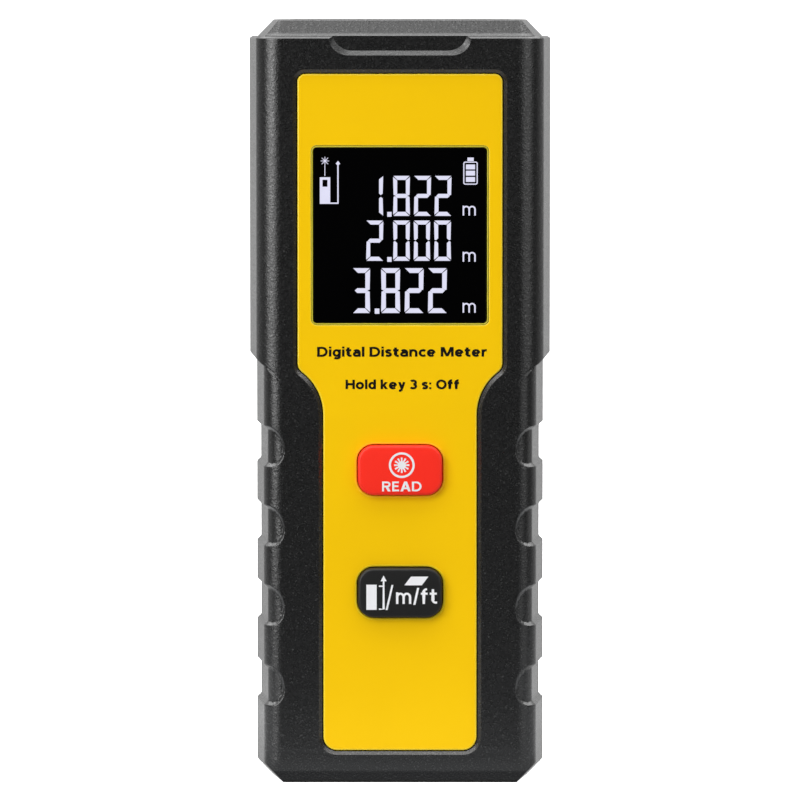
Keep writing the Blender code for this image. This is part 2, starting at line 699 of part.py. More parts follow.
# ================================================================ fasteners
def screw(name, x, z, head_r, head_y, shank_r, tip_y, cross):
    rows = [(0.0, tip_y), (shank_r * 0.45, tip_y), (shank_r, tip_y + 0.8), (shank_r, head_y[0]), (head_r, head_y[0]), (head_r, head_y[1] - 0.35), (head_r * 0.72, head_y[1]), (0.0, head_y[1])]
    body = lathe(rows, "y", (x, z), 16)
    w, reach = cross
    star = plus(
        box(x - reach, x + reach, head_y[1] - 0.7, head_y[1] + 1, z - w, z + w),
        box(x - w, x + w, head_y[1] - 0.7, head_y[1] + 1, z - reach, z + reach),
    )
    solid(minus(body, star), name, steel)


for i, (x, z) in enumerate(CASE_SCREWS, 1):
    screw(f"case_screw_{i}", x, z, 1.75, (9.1, 10.5), 1.05, -6.0, (0.24, 1.0))
for i, (x, z) in enumerate(PCB_SCREWS, 1):
    screw(f"board_screw_{i}", x, z, 1.5, (-2.9, -1.9), 0.75, -7.3, (0.2, 0.8))
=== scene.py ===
"""Looks for the pocket laser distance meter: fine shells, panel, keys, display, back and lens end."""

import math

import bmesh
import bpy
from mathutils import Matrix, Vector
from mathutils.geometry import delaunay_2d_cdt


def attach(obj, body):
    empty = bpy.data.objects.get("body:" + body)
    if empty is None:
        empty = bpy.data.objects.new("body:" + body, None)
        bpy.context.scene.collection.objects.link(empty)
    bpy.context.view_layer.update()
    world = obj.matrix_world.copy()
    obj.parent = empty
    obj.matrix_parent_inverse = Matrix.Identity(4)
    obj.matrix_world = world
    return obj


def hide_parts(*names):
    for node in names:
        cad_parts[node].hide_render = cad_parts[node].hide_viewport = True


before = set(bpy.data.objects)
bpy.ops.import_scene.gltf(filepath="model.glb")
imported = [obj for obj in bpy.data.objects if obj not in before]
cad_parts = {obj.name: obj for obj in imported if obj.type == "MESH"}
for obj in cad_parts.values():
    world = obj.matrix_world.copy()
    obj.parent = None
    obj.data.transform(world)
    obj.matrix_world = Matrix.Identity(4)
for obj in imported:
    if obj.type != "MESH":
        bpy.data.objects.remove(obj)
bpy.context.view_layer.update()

MM = 0.001

# ---------------------------------------------------------------- sizes, in millimetres
LENGTH = 105.0
Y_FRONT, Y_BACK, Y_PART = -11.4, 12.2, 0.4
HALF_DEPTH = Y_BACK - Y_PART
WALL = 1.8
HW_HEAD, HW_GRIP = 20.8, 19.86
GRIP_STEP = HW_HEAD - HW_GRIP
NOTCH_DEPTH = 0.56
NOTCH_Z = (46.59, 35.65, 24.7, 13.67)
DRAFT = math.radians(6.4)
EDGE_R, GRIP_EDGE_R, FILLET_R, EDGE_TURN = 3.9, 2.8, 1.6, 60.0
CHAMFER_LOW, CHAMFER_LOW_MID = 2.57, 2.16
BEVEL_LOW = (1.8, 2.2)
Z_COLLAR, Z_RIM, RIM = 102.44, 102.7, 0.3
PANEL_HW, PANEL_HW_LOW, PANEL_Z = 14.05, 10.54, (4.61, 97.61)
PANEL_TOP_Y = -11.05
WINDOW_HW, WINDOW_Z = 11.85, (63.52, 87.47)
WINDOW_Y = -10.9
BUTTON_W, BUTTON_H, BUTTON_R = 11.6, 6.84, 2.2
MEASURE_Z, UNITS_Z = 43.3, 26.44
KEY_Y = -12.2
OPTIC_Y, RX_X, TX_X = 3.2, -5.2, 7.2
CAVITY_HW = 17.2
BAY_HW, BAY_Z = 11.0, (6.6, 57.4)
CASE_SCREWS = ((14.5, 97.0), (-14.5, 97.0), (14.5, 9.0), (-14.5, 9.0))
PCB_SCREWS = ((15.0, 90.0), (-15.0, 90.0), (15.0, 24.0), (-15.0, 24.0))
DOOR_HW, DOOR_Z, DOOR_Y = 11.6, (9.1, 58.0), (10.9, 12.2)
LATCH_HW, LATCH_Z, LATCH_TRAVEL = 4.3, (52.3, 58.0), 1.0


# ================================================================ mesh helpers
def between(x, table):
    if x <= table[0][0]:
        return table[0][1]
    for (x0, y0), (x1, y1) in zip(table, table[1:]):
        if x <= x1:
            return y0 + (y1 - y0) * (x - x0) / (x1 - x0)
    return table[-1][1]


def ease(t):
    t = min(max(t, 0.0), 1.0)
    return t * t * (3 - 2 * t)


def piece(bm, name, mat, body, replaces=(), angle=38, smooth=True):
    """A finished piece of the visual model from a bmesh drawn in millimetres."""
    bmesh.ops.recalc_face_normals(bm, faces=bm.faces)
    bm.transform(Matrix.Scale(MM, 4))
    mesh = bpy.data.meshes.new(name)
    bm.to_mesh(mesh)
    bm.free()
    obj = bpy.data.objects.new(name, mesh)
    bpy.context.scene.collection.objects.link(obj)
    mesh.materials.append(mat)
    if smooth:
        mesh.shade_smooth()
        mesh.set_sharp_from_angle(angle=math.radians(angle))
        for face in mesh.polygons:
            if max(abs(c) for c in face.normal) > 0.99999:
                face.use_smooth = False
    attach(obj, body)
    if replaces:
        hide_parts(*replaces)
    return obj


def raw(bm, name="tool"):
    bmesh.ops.recalc_face_normals(bm, faces=bm.faces)
    mesh = bpy.data.meshes.new(name)
    bm.to_mesh(mesh)
    bm.free()
    obj = bpy.data.objects.new(name, mesh)
    bpy.context.scene.collection.objects.link(obj)
    return obj


def merged(base, others, operation):
    """Base with the others cut from it or joined to it."""
    target = raw(base, "base")
    tools = []
    for bm in others:
        tool = raw(bm)
        tools.append(tool)
        mod = target.modifiers.new("b", "BOOLEAN")
        mod.operation = operation
        mod.solver = "EXACT"
        mod.object = tool
    bpy.context.view_layer.update()
    graph = bpy.context.evaluated_depsgraph_get()
    mesh = bpy.data.meshes.new_from_object(target.evaluated_get(graph))
    out = bmesh.new()
    out.from_mesh(mesh)
    for obj in [target, *tools]:
        data = obj.data
        bpy.data.objects.remove(obj)
        bpy.data.meshes.remove(data)
    bpy.data.meshes.remove(mesh)
    bmesh.ops.remove_doubles(out, verts=out.verts, dist=2e-4)
    return out


def minus(base, *cutters):
    return merged(base, cutters, "DIFFERENCE")


def plus(base, *more):
    return merged(base, more, "UNION")


def loft(rings, cap=True, closed=True):
    bm = bmesh.new()
    rows = [[bm.verts.new(p) for p in ring] for ring in rings]
    n = len(rows[0])
    for a, b in zip(rows, rows[1:]):
        for i in range(n if closed else n - 1):
            j = (i + 1) % n
            bm.faces.new((a[i], a[j], b[j], b[i]))
    if cap:
        bm.faces.new(rows[0])
        bm.faces.new(rows[-1])
    return bm


def prism(outline, axis, lo, hi):
    place = {
        "y": lambda p, t: (p[0], t, p[1]),
        "z": lambda p, t: (p[0], p[1], t),
        "x": lambda p, t: (t, p[0], p[1]),
    }[axis]
    return loft([[place(p, lo) for p in outline], [place(p, hi) for p in outline]])


def flared(outline_at, levels):
    """A cutter whose outline grows from level to level: levels holds (y, grow)."""
    return loft([[(x, y, z) for x, z in outline_at(grow)] for y, grow in levels])


def box(x0, x1, y0, y1, z0, z1):
    return prism([(x0, z0), (x1, z0), (x1, z1), (x0, z1)], "y", y0, y1)


def lathe(profile, axis, centre, steps=48, closed=False):
    rings = []
    for k in range(steps):
        a = 2 * math.pi * k / steps
        c, s = math.cos(a), math.sin(a)
        ring = []
        for r, t in profile:
            if axis == "z":
                ring.append((centre[0] + r * c, centre[1] + r * s, t))
            else:
                ring.append((centre[0] + r * c, t, centre[1] + r * s))
        rings.append(ring)
    bm = bmesh.new()
    rows = [[bm.verts.new(p) for p in ring] for ring in rings]
    n = len(profile)
    for k in range(steps):
        a, b = rows[k], rows[(k + 1) % steps]
        for i in range(n if closed else n - 1):
            j = (i + 1) % n
            bm.faces.new((a[i], a[j], b[j], b[i]))
    bmesh.ops.remove_doubles(bm, verts=bm.verts, dist=1e-4)
    return bm


def rounded(hw, hh, r, n=8, cx=0.0, cy=0.0):
    points = []
    for qx, qy, start in ((1, -1, -90), (1, 1, 0), (-1, 1, 90), (-1, -1, 180)):
        for k in range(n + 1):
            a = math.radians(start + 90 * k / n)
            points.append(
                (
                    cx + qx * (hw - r) + r * math.cos(a),
                    cy + qy * (hh - r) + r * math.sin(a),
                )
            )
    return points


def sheet_with_holes(bm, loops):
    """Fills the area between the first loop and the others, all of them lists of bmesh vertices."""
    edges = []
    for loop in loops:
        for i in range(len(loop)):
            pair = (loop[i], loop[(i + 1) % len(loop)])
            edge = bm.edges.get(pair) or bm.edges.new(pair)
            edges.append(edge)
    bmesh.ops.triangle_fill(bm, use_beauty=True, edges=edges)


def band(bm, a, b):
    """Quads between two vertex loops of equal length."""
    for i in range(len(a)):
        j = (i + 1) % len(a)
        bm.faces.new((a[i], a[j], b[j], b[i]))


def loop_at(bm, outline, y):
    return [bm.verts.new((x, y, z)) for x, z in outline]


def flat_print(shapes, y, thick=0.012):
    """A thin printed layer, the union of all the shapes, its outer face at y."""
    points, faces = [], []
    for shape in shapes:
        turn = sum(a[0] * b[1] - b[0] * a[1] for a, b in zip(shape, [*shape[1:], shape[0]]))
        if turn < 0:
            shape = shape[::-1]
        faces.append(list(range(len(points), len(points) + len(shape))))
        points += [Vector(p) for p in shape]
    verts, _, cells, *_ = delaunay_2d_cdt(points, [], faces, 0, 1e-5)
    boxes = [(min(p[0] for p in q), max(p[0] for p in q), min(p[1] for p in q), max(p[1] for p in q), q) for q in shapes]

    def covered(x, z):
        for x0, x1, z0, z1, q in boxes:
            if x0 <= x <= x1 and z0 <= z <= z1:
                inside = False
                for (ax, az), (bx, bz) in zip(q, [*q[1:], q[0]]):
                    if (az > z) != (bz > z) and x < ax + (bx - ax) * (z - az) / (bz - az):
                        inside = not inside
                if inside:
                    return True
        return False

    bm = bmesh.new()
    made = [bm.verts.new((v.x, y, v.y)) for v in verts]
    for cell in cells:
        middle = sum((verts[i] for i in cell), Vector((0.0, 0.0))) / len(cell)
        if covered(middle.x, middle.y):
            bm.faces.new([made[i] for i in cell])
    bmesh.ops.delete(bm, geom=[v for v in bm.verts if not v.link_faces], context="VERTS")
    grown = bmesh.ops.extrude_face_region(bm, geom=bm.faces[:])
    for v in grown["geom"]:
        if isinstance(v, bmesh.types.BMVert):
            v.co.y += thick
    return bm


def disc(cx, cz, r, n=24, start=0.0):
    return [(cx + r * math.cos(start + 2 * math.pi * k / n), cz + r * math.sin(start + 2 * math.pi * k / n)) for k in range(n)]


def rect(x0, x1, z0, z1):
    return [(x0, z0), (x1, z0), (x1, z1), (x0, z1)]


def pen(points, wide, high, closed=False):
    """The area that an oval nib, wide by high, covers along a line: one four-sided shape per stretch."""
    n = len(points)
    sides = []
    for i in range(n):
        if closed:
            a, b = Vector(points[i - 1]), Vector(points[(i + 1) % n])
        else:
            a, b = Vector(points[max(i - 1, 0)]), Vector(points[min(i + 1, n - 1)])
        d = (b - a).normalized()
        nx, nz = -d.y, d.x
        size = math.hypot(wide * nx, high * nz)
        off = Vector((wide * wide * nx, high * high * nz)) / (2 * size)
        if 0 < i < n - 1 or closed:
            u = (Vector(points[i]) - Vector(points[i - 1])).normalized()
            w = (Vector(points[(i + 1) % n]) - Vector(points[i])).normalized()
            half = math.sqrt(max((1 + u.dot(w)) / 2, 0.2))
            off /= half
        p = Vector(points[i])
        sides.append(((p + off)[:], (p - off)[:]))
    out = []
    for i in range(n if closed else n - 1):
        a, b = sides[i], sides[(i + 1) % n]
        out.append([a[0], b[0], b[1], a[1]])
    return out


# ================================================================ outlines
def panel_outline(grow=0.0, n=22):
    hw, low = PANEL_HW + grow, PANEL_HW_LOW + grow
    z0, z1 = PANEL_Z[0] - grow, PANEL_Z[1] + grow
    right = []
    r = 1.9 + grow
    for k in range(n + 1):
        a = math.radians(-90 + 90 * k / n)
        right.append((low - r + r * math.cos(a), z0 + r + r * math.sin(a)))
    big = 7.3 - grow
    cx, cz = PANEL_HW_LOW + 7.3, 50.9
    for k in range(n + 1):
        a = math.radians(180 - 53.4 * k / n)
        right.append((cx + big * math.cos(a), cz + big * math.sin(a)))
    small = 1.6 + grow
    ex = cx - 7.3 * math.cos(math.radians(53.4))
    ez = cz + 7.3 * math.sin(math.radians(53.4))
    sx = PANEL_HW - 1.6
    slope = math.radians(90 - 53.4)
    sz = ez + (sx + 1.6 * math.cos(math.radians(53.4)) - ex) * math.tan(slope)
    sz += 1.6 * math.sin(math.radians(53.4))
    for k in range(n + 1):
        a = math.radians(-53.4 + 53.4 * k / n)
        right.append((sx + small * math.cos(a), sz + small * math.sin(a)))
    r = 1.1 + grow
    for k in range(n + 1):
        a = math.radians(90 * k / n)
        right.append((hw - r + r * math.cos(a), z1 - r + r * math.sin(a)))
    return right + [(-x, z) for x, z in reversed(right)]


def key_outline(z, grow=0.0, n=10):
    return rounded(
        BUTTON_W / 2 + grow, BUTTON_H / 2 + grow, BUTTON_R + grow, n, 0.0, z
    )


def window_outline(grow=0.0, n=6):
    return rounded(
        WINDOW_HW + grow, (WINDOW_Z[1] - WINDOW_Z[0]) / 2 + grow, 0.45 + grow, n, 0.0, sum(WINDOW_Z) / 2
    )


def cavity_outline(grow=0.0):
    hw = CAVITY_HW + grow
    lo, hi = WALL - grow, LENGTH - WALL + grow
    return [
        (-hw + 2.8, lo),
        (hw - 2.8, lo),
        (hw, lo + 3.0),
        (hw, hi - 1.6),
        (hw - 1.2, hi),
        (-hw + 1.2, hi),
        (-hw, hi - 1.6),
        (-hw, lo + 3.0),
    ]


# ================================================================ the outer form
FLAT_COLUMNS = (15.0, 10.0, 5.0)
STEP_LINE = (
    (0.0, 59.05),
    (1.12, 58.5),
    (1.8, 57.85),
    (3.1, 57.1),
    (3.9, 56.35),
    (5.4, 55.4),
)
STEP_HIGH = ((0.0, 1.05), (1.1, 0.95), (1.9, 0.5), (4.0, 0.4))
STEP_GROOVE = ((0.0, 0.0), (1.0, 0.06), (2.0, 0.14), (3.2, 0.1), (4.2, 0.03), (4.8, 0.0))
NOTCH_ABOVE = ((0.0, 2.8), (1.12, 2.8), (2.0, 2.66), (2.7, 2.3), (3.3, 1.75), (3.7, 1.1), (3.92, 0.4), (4.06, -0.6), (4.12, -1.6))
NOTCH_BELOW = ((0.0, 2.8), (1.27, 2.95), (2.1, 2.95), (2.8, 2.75), (3.3, 2.4), (3.7, 1.9), (3.95, 1.2), (4.08, 0.3), (4.12, -0.6))
NOTCH_FADE = ((0.0, 1.0), (1.6, 1.0), (2.6, 0.8), (3.5, 0.58), (4.3, 0.5))


def profile(edge_r):
    """Stations over one half: (inward distance, depth, outward normal)."""
    turn = math.radians(EDGE_TURN)
    side_end = HALF_DEPTH - edge_r * (1 - math.cos(turn))
    start = side_end - FILLET_R * (math.cos(turn) - math.sin(DRAFT))
    inward = start * math.tan(DRAFT)
    side = (math.cos(DRAFT), math.sin(DRAFT))
    out = [(0.0, 0.15, side)]
    for t in (0.03, 0.2, 0.4, 0.6, 0.8, 0.97):
        out.append((inward * t, start * t, side))
    steps = 6
    for k in range(steps):
        a = math.pi / 2 - DRAFT - (math.pi / 2 - DRAFT - turn) * k / steps
        out.append((inward + FILLET_R * (math.cos(DRAFT) - math.sin(a)), start + FILLET_R * (math.cos(a) - math.sin(DRAFT)), (math.sin(a), math.cos(a))))
    inward += FILLET_R * (math.cos(DRAFT) - math.sin(turn))
    turns = 28
    for k in range(turns + 1):
        a = turn * (1 - k / turns)
        out.append((inward + edge_r * (math.sin(turn) - math.sin(a)), HALF_DEPTH - edge_r * (1 - math.cos(a)), (math.sin(a), math.cos(a))))
    for more in (0.1, 0.2, 0.32, 0.48):
        out.append((out[SIDE_STATIONS + turns][0] + more, HALF_DEPTH, (0.0, 1.0)))
    return out


SIDE_STATIONS = 13


def slope_of(s, table):
    return (between(s + 0.05, table) - between(s - 0.05, table)) / 0.1


def notch_depth(s, z):
    if s > 4.4:
        return 0.0
    for centre in NOTCH_Z:
        dz = z - centre
        if abs(dz) < 3.3:
            above = (between(s, NOTCH_ABOVE) - dz) / math.hypot(1, slope_of(s, NOTCH_ABOVE))
            below = (dz + between(s, NOTCH_BELOW)) / math.hypot(1, slope_of(s, NOTCH_BELOW))
            inside = min(above, below) / between(s, ((1.4, 0.58), (2.4, 0.46), (4.0, 0.4)))
            soft = ease(inside)
            linear = min(max(inside, 0.0), 1.0)
            return NOTCH_DEPTH * between(s, NOTCH_FADE) * (0.6 * linear + 0.4 * soft)
    return 0.0


def groove_depth(s, below):
    """The fine groove under the collar, whose lower lip faces up."""
    return between(s, STEP_GROOVE) * (ease((below - 0.25) / 0.3) - ease((below - 0.62) / 0.3))


def soft_over(v, e=0.05):
    return 0.5 * (v + math.sqrt(v * v + 4 * e * e)) if v > -2.0 else 0.0


def outer_half(side):
    cols, grip_cols = profile(EDGE_R), profile(GRIP_EDGE_R)
    side_in, side_end = grip_cols[SIDE_STATIONS][:2]
    heights = []

    def span(a, b, step):
        n = max(1, round((b - a) / step))
        heights.extend(a + (b - a) * k / n for k in range(n))

    span(0.0, 4.4, 0.15)
    span(4.4, 6.0, 0.4)
    last = 6.0
    for centre in reversed(NOTCH_Z):
        span(last, centre - 3.2, 2.4)
        span(centre - 3.2, centre - 2.2, 0.1)
        span(centre - 2.2, centre + 2.1, 0.18)
        span(centre + 2.1, centre + 3.1, 0.1)
        last = centre + 3.1
    span(last, 54.0, 2.4)
    span(54.0, 59.4, 0.075)
    span(59.4, 59.6, 0.1)
    span(59.6, Z_COLLAR - 0.2, 4.0)
    heights += [Z_COLLAR - 0.2, Z_COLLAR - 0.02]

    edge_x, edge_y = HW_GRIP - side_in, Y_PART + side * side_end
    foot = Vector((edge_x - CHAMFER_LOW, edge_y, 0.0))
    top = Vector((edge_x, edge_y, CHAMFER_LOW))
    middle = Vector((HW_GRIP, Y_PART, CHAMFER_LOW_MID))
    corner_n = (top - foot).cross(middle - foot).normalized()
    if corner_n.x < 0:
        corner_n = -corner_n
    by, bz = BEVEL_LOW
    face_y = Y_PART + side * HALF_DEPTH
    bevel_n = Vector((0, side * bz, -by)).normalized()
    bevel_p = Vector((0, face_y, bz))

    rows = []
    for z in heights:
        half = []
        for (s0, depth0, n0), (s1, depth1, n1) in zip(cols, grip_cols):
            line = between(s0, STEP_LINE)
            t = ease((line - z) / between(s0, STEP_HIGH))
            s, depth = s0 + (s1 - s0) * t, depth0 + (depth1 - depth0) * t
            n = (n0[0] + (n1[0] - n0[0]) * t, n0[1] + (n1[1] - n0[1]) * t)
            cut = notch_depth(s, z) + groove_depth(s0, line - z)
            x = HW_HEAD - GRIP_STEP * t - s - cut * n[0]
            y = Y_PART + side * (depth - cut * n[1])
            if depth < 0.2:
                y = Y_PART + side * 0.15
            half.append([x, y, z])
        for fx in FLAT_COLUMNS:
            half.append([fx, face_y, z])
        half.append([0.0, face_y, z])
        if z < 6.0:
            for p in half:
                v = (Vector(p) - bevel_p).dot(bevel_n)
                if v > -1.6:
                    p[1] -= side * soft_over(v, 0.16) / abs(bevel_n.y)
                v = (Vector(p) - foot).dot(corner_n)
                if v > -0.4:
                    p[0] -= soft_over(v, 0.03) / corner_n.x
        rows.append(half)

    def collar(z, inset):
        half = []
        for s, depth, n in cols:
            half.append([HW_HEAD - s - inset * n[0], Y_PART + side * (0.15 if depth < 0.2 else depth - inset * n[1]), z])
        for fx in (*FLAT_COLUMNS, 0.0):
            half.append([fx, face_y - side * inset, z])
        rows.append(half)

    collar(Z_COLLAR, 0.01)
    collar(Z_COLLAR + 0.06, 0.05)
    collar(Z_RIM - 0.06, 0.27)
    collar(Z_RIM - 0.01, 0.33)
    collar(Z_RIM + 0.01, RIM + 0.05)

    def core(z, hw, inner, corner, face):
        half = []
        first = cols[: SIDE_STATIONS + 1]
        corner_depth = first[-1][1]
        for s, depth, _ in first:
            t = depth / corner_depth
            half.append([hw + (inner - hw) * t, Y_PART + side * max(depth, 0.15), z])
        rest = len(cols) - len(first)
        for k in range(1, rest + 1):
            t = k / rest
            half.append([inner + (corner - inner) * t, Y_PART + side * (corner_depth + (face - corner_depth) * t), z])
        for fx in (*FLAT_COLUMNS, 0.0):
            half.append([fx, Y_PART + side * face, z])
        rows.append(half)

    low = (19.65, 18.46, 16.73, HALF_DEPTH - 0.45)
    high = (17.5, 16.6, 16.28, HALF_DEPTH - 1.78)
    core(Z_RIM + 0.02, *low[:3], HALF_DEPTH - 0.42)
    core(Z_RIM + 0.1, low[0] - 0.02, low[1] - 0.02, low[2] - 0.01, HALF_DEPTH - 0.44)
    core(Z_RIM + 0.14, low[0] - 0.06, low[1] - 0.06, low[2] - 0.02, HALF_DEPTH - 0.5)
    foot_z = Z_RIM + 0.4
    foot_at = (low[0] - 0.3, low[1] - 0.3, low[2] - 0.06, HALF_DEPTH - 0.84)
    for k in range(11):
        t = k / 10 * 0.955
        core(foot_z + (LENGTH - foot_z) * t, *[a + (b - a) * t for a, b in zip(foot_at, high)])
    core(LENGTH - 0.04, *[b - d for b, d in zip(high, (0.02, 0.02, 0.02, 0.03))])
    core(LENGTH, *[b - d for b, d in zip(high, (0.1, 0.1, 0.1, 0.12))])

    bm = bmesh.new()
    rings = []
    for half in rows:
        ring = [tuple(p) for p in half]
        ring += [(-p[0], p[1], p[2]) for p in reversed(half[:-1])]
        rings.append([bm.verts.new(p) for p in ring])
    for a, b in zip(rings, rings[1:]):
        for i in range(len(a) - 1):
            bm.faces.new((a[i], a[i + 1], b[i + 1], b[i]))
    bm.faces.new(rings[0])
    bm.faces.new(rings[-1])
    bm.faces.new([r[0] for r in rings] + [r[-1] for r in reversed(rings)])
    bmesh.ops.recalc_face_normals(bm, faces=bm.faces)
    return bm


# ================================================================ materials
def principled(name, base, rough, metallic=0.0, **sockets):
    mat = bpy.data.materials.new(name)
    mat.use_nodes = True
    nodes = mat.node_tree.nodes
    shader = nodes["Principled BSDF"]
    shader.inputs["Base Color"].default_value = (*base, 1.0)
    shader.inputs["Roughness"].default_value = rough
    shader.inputs["Metallic"].default_value = metallic
    for key, value in sockets.items():
        shader.inputs[key.replace("_", " ")].default_value = value
    return mat, nodes, mat.node_tree.links, shader


def coords(nodes):
    found = [n for n in nodes if n.type == "TEX_COORD"]
    return (found[0] if found else nodes.new("ShaderNodeTexCoord")).outputs["Object"]


def noise(nodes, links, scale, detail=2.0, rough=0.5, stretch=None):
    tex = nodes.new("ShaderNodeTexNoise")
    tex.inputs["Scale"].default_value = scale
    tex.inputs["Detail"].default_value = detail
    tex.inputs["Roughness"].default_value = rough
    if stretch:
        mapping = nodes.new("ShaderNodeMapping")
        mapping.inputs["Scale"].default_value = stretch
        links.new(coords(nodes), mapping.inputs["Vector"])
        links.new(mapping.outputs["Vector"], tex.inputs["Vector"])
    else:
        links.new(coords(nodes), tex.inputs["Vector"])
    return tex


def ramp(nodes, links, value, stops, colour=False):
    node = nodes.new("ShaderNodeValToRGB")
    el = node.color_ramp.elements
    while len(el) < len(stops):
        el.new(0.5)
    for e, (pos, col) in zip(el, stops):
        e.position = pos
        e.color = (*col, 1.0) if isinstance(col, tuple) else (col, col, col, 1.0)
    links.new(value, node.inputs["Fac"])
    return node.outputs["Color"]


def bump(nodes, links, shader, value, distance, strength=1.0, onto=None):
    node = nodes.new("ShaderNodeBump")
    node.inputs["Distance"].default_value = distance
    node.inputs["Strength"].default_value = strength
    links.new(value, node.inputs["Height"])
    if onto is not None:
        links.new(onto.outputs["Normal"], node.inputs["Normal"])
    links.new(node.outputs["Normal"], shader.inputs["Normal"])
    return node


def moulded(name, dark, light, rough_lo, rough_hi, grain=3800.0, depth=0.00005, strength=0.6, **sockets):
    """Spark-eroded plastic: a fine grain in the height, the gloss and, a little, in the colour."""
    mat, nodes, links, shader = principled(name, dark, 0.5, **sockets)
    fine = noise(nodes, links, grain, 2.0, 0.6)
    coarse = noise(nodes, links, grain * 0.42, 1.0, 0.5)
    blotch = noise(nodes, links, 160.0, 3.0, 0.5)
    speck = ramp(nodes, links, fine.outputs["Fac"], ((0.56, dark), (0.66, tuple(0.7 * a + 0.3 * b for a, b in zip(dark, light))), (0.76, light)))
    mixer = nodes.new("ShaderNodeMix")
    mixer.data_type = "RGBA"
    mixer.blend_type = "MULTIPLY"
    mixer.inputs["Factor"].default_value = 0.5
    tone = ramp(nodes, links, blotch.outputs["Fac"], ((0.35, 0.82), (0.65, 1.0)))
    links.new(speck, mixer.inputs[6])
    links.new(tone, mixer.inputs[7])
    links.new(mixer.outputs[2], shader.inputs["Base Color"])
    relief = nodes.new("ShaderNodeMath")
    relief.operation = "MULTIPLY_ADD"
    relief.inputs[1].default_value = 0.9
    links.new(coarse.outputs["Fac"], relief.inputs[0])
    links.new(fine.outputs["Fac"], relief.inputs[2])
    gloss = ramp(nodes, links, fine.outputs["Fac"], ((0.35, rough_hi), (0.7, rough_lo)))
    links.new(gloss, shader.inputs["Roughness"])
    bump(nodes, links, shader, relief.outputs[0], depth, strength)
    return mat


def satin(name, base, other, rough, grain=9000.0, depth=0.00001, patch=45.0, **sockets):
    """Smooth moulded or painted plastic with a faint unevenness."""
    mat, nodes, links, shader = principled(name, base, rough, **sockets)
    broad = noise(nodes, links, patch, 2.0, 0.5)
    links.new(ramp(nodes, links, broad.outputs["Fac"], ((0.3, base), (0.7, other))), shader.inputs["Base Color"])
    fine = noise(nodes, links, grain, 1.0, 0.5)
    links.new(ramp(nodes, links, fine.outputs["Fac"], ((0.3, rough - 0.05), (0.7, rough + 0.05))), shader.inputs["Roughness"])
    bump(nodes, links, shader, fine.outputs["Fac"], depth, 0.35)
    return mat


def metal(name, base, rough, stretch=(1, 1, 1), grain=2500.0, depth=0.000006):
    mat, nodes, links, shader = principled(name, base, rough, 1.0)
    fine = noise(nodes, links, grain, 3.0, 0.6, stretch)
    darker = tuple(c * 0.82 for c in base)
    links.new(ramp(nodes, links, fine.outputs["Fac"], ((0.3, darker), (0.65, base))), shader.inputs["Base Color"])
    links.new(ramp(nodes, links, fine.outputs["Fac"], ((0.3, rough + 0.1), (0.7, max(rough - 0.08, 0.05)))), shader.inputs["Roughness"])
    bump(nodes, links, shader, fine.outputs["Fac"], depth, 0.4)
    return mat


def glow(name, colour, strength):
    mat, nodes, links, shader = principled(name, (0.02, 0.02, 0.02), 0.6)
    shader.inputs["Emission Color"].default_value = (*colour, 1.0)
    shader.inputs["Emission Strength"].default_value = strength
    broad = noise(nodes, links, 600.0, 1.0, 0.5)
    links.new(ramp(nodes, links, broad.outputs["Fac"], ((0.2, tuple(c * 0.96 for c in colour)), (0.8, colour))), shader.inputs["Emission Color"])
    return mat


black = moulded("black_textured_plastic", (0.001, 0.001, 0.001), (0.08, 0.08, 0.08), 0.2, 0.4, Specular_IOR_Level=0.85)
yellow = satin("yellow_panel", (0.93, 0.560, 0.0), (0.97, 0.592, 0.0), 0.36, Specular_IOR_Level=0.25)
# lighter yellow for the rounded edges round the panel and the key holes: a painted highlight standing in for the light
# those edges catch
yellow_edge_painted_highlight = satin("yellow_panel_edge_painted_highlight", (0.98, 0.70, 0.02), (1.0, 0.72, 0.03), 0.3)
rim_olive = satin("window_rim", (0.52, 0.46, 0.02), (0.58, 0.50, 0.03), 0.2)
red = satin("red_key", (0.985, 0.022, 0.009), (1.0, 0.028, 0.012), 0.42, depth=0.00002, Specular_IOR_Level=0.35)
key_black = satin("black_key", (0.006, 0.006, 0.006), (0.009, 0.009, 0.009), 0.45, depth=0.00002, Specular_IOR_Level=0.4)
print_white = satin("white_print", (0.86, 0.86, 0.88), (0.8, 0.8, 0.83), 0.5)
print_black = satin("black_print", (0.003, 0.003, 0.003), (0.005, 0.005, 0.005), 0.4, Specular_IOR_Level=0.2)
window_mat = satin("display_window", (0.0006, 0.0006, 0.0007), (0.0009, 0.0009, 0.001), 0.1, depth=0.000001, Specular_IOR_Level=0.25)
gloss_black = satin("gloss_black", (0.006, 0.006, 0.007), (0.01, 0.01, 0.011), 0.14, depth=0.000003)
lit = glow("lit_segments", (0.76, 0.76, 0.95), 0.95)
board_mat = satin("board_green", (0.01, 0.12, 0.05), (0.015, 0.16, 0.07), 0.4, patch=400.0)
chip_mat = satin("chip_black", (0.02, 0.02, 0.022), (0.03, 0.03, 0.032), 0.55)
tin = metal("tinned_steel", (0.72, 0.72, 0.7), 0.3)
steel = metal("screw_steel", (0.42, 0.42, 0.43), 0.34)
brass = metal("brass", (0.78, 0.58, 0.26), 0.28)
alloy = metal("cast_alloy", (0.5, 0.5, 0.52), 0.5, grain=1500.0, depth=0.00003)
rubber = satin("seal_rubber", (0.02, 0.02, 0.02), (0.03, 0.03, 0.03), 0.8)
foam = moulded("black_foam", (0.015, 0.015, 0.015), (0.05, 0.05, 0.05), 0.85, 0.98, grain=2600.0, depth=0.0002)
lcd_mat = satin("lcd_glass", (0.03, 0.035, 0.04), (0.04, 0.045, 0.05), 0.1)
white_mat = satin("light_guide", (0.82, 0.82, 0.82), (0.88, 0.88, 0.88), 0.4)
filter_mat = satin("filter_red", (0.35, 0.015, 0.02), (0.4, 0.02, 0.03), 0.08)
sleeve = satin("cell_sleeve", (0.03, 0.13, 0.33), (0.035, 0.15, 0.38), 0.28)
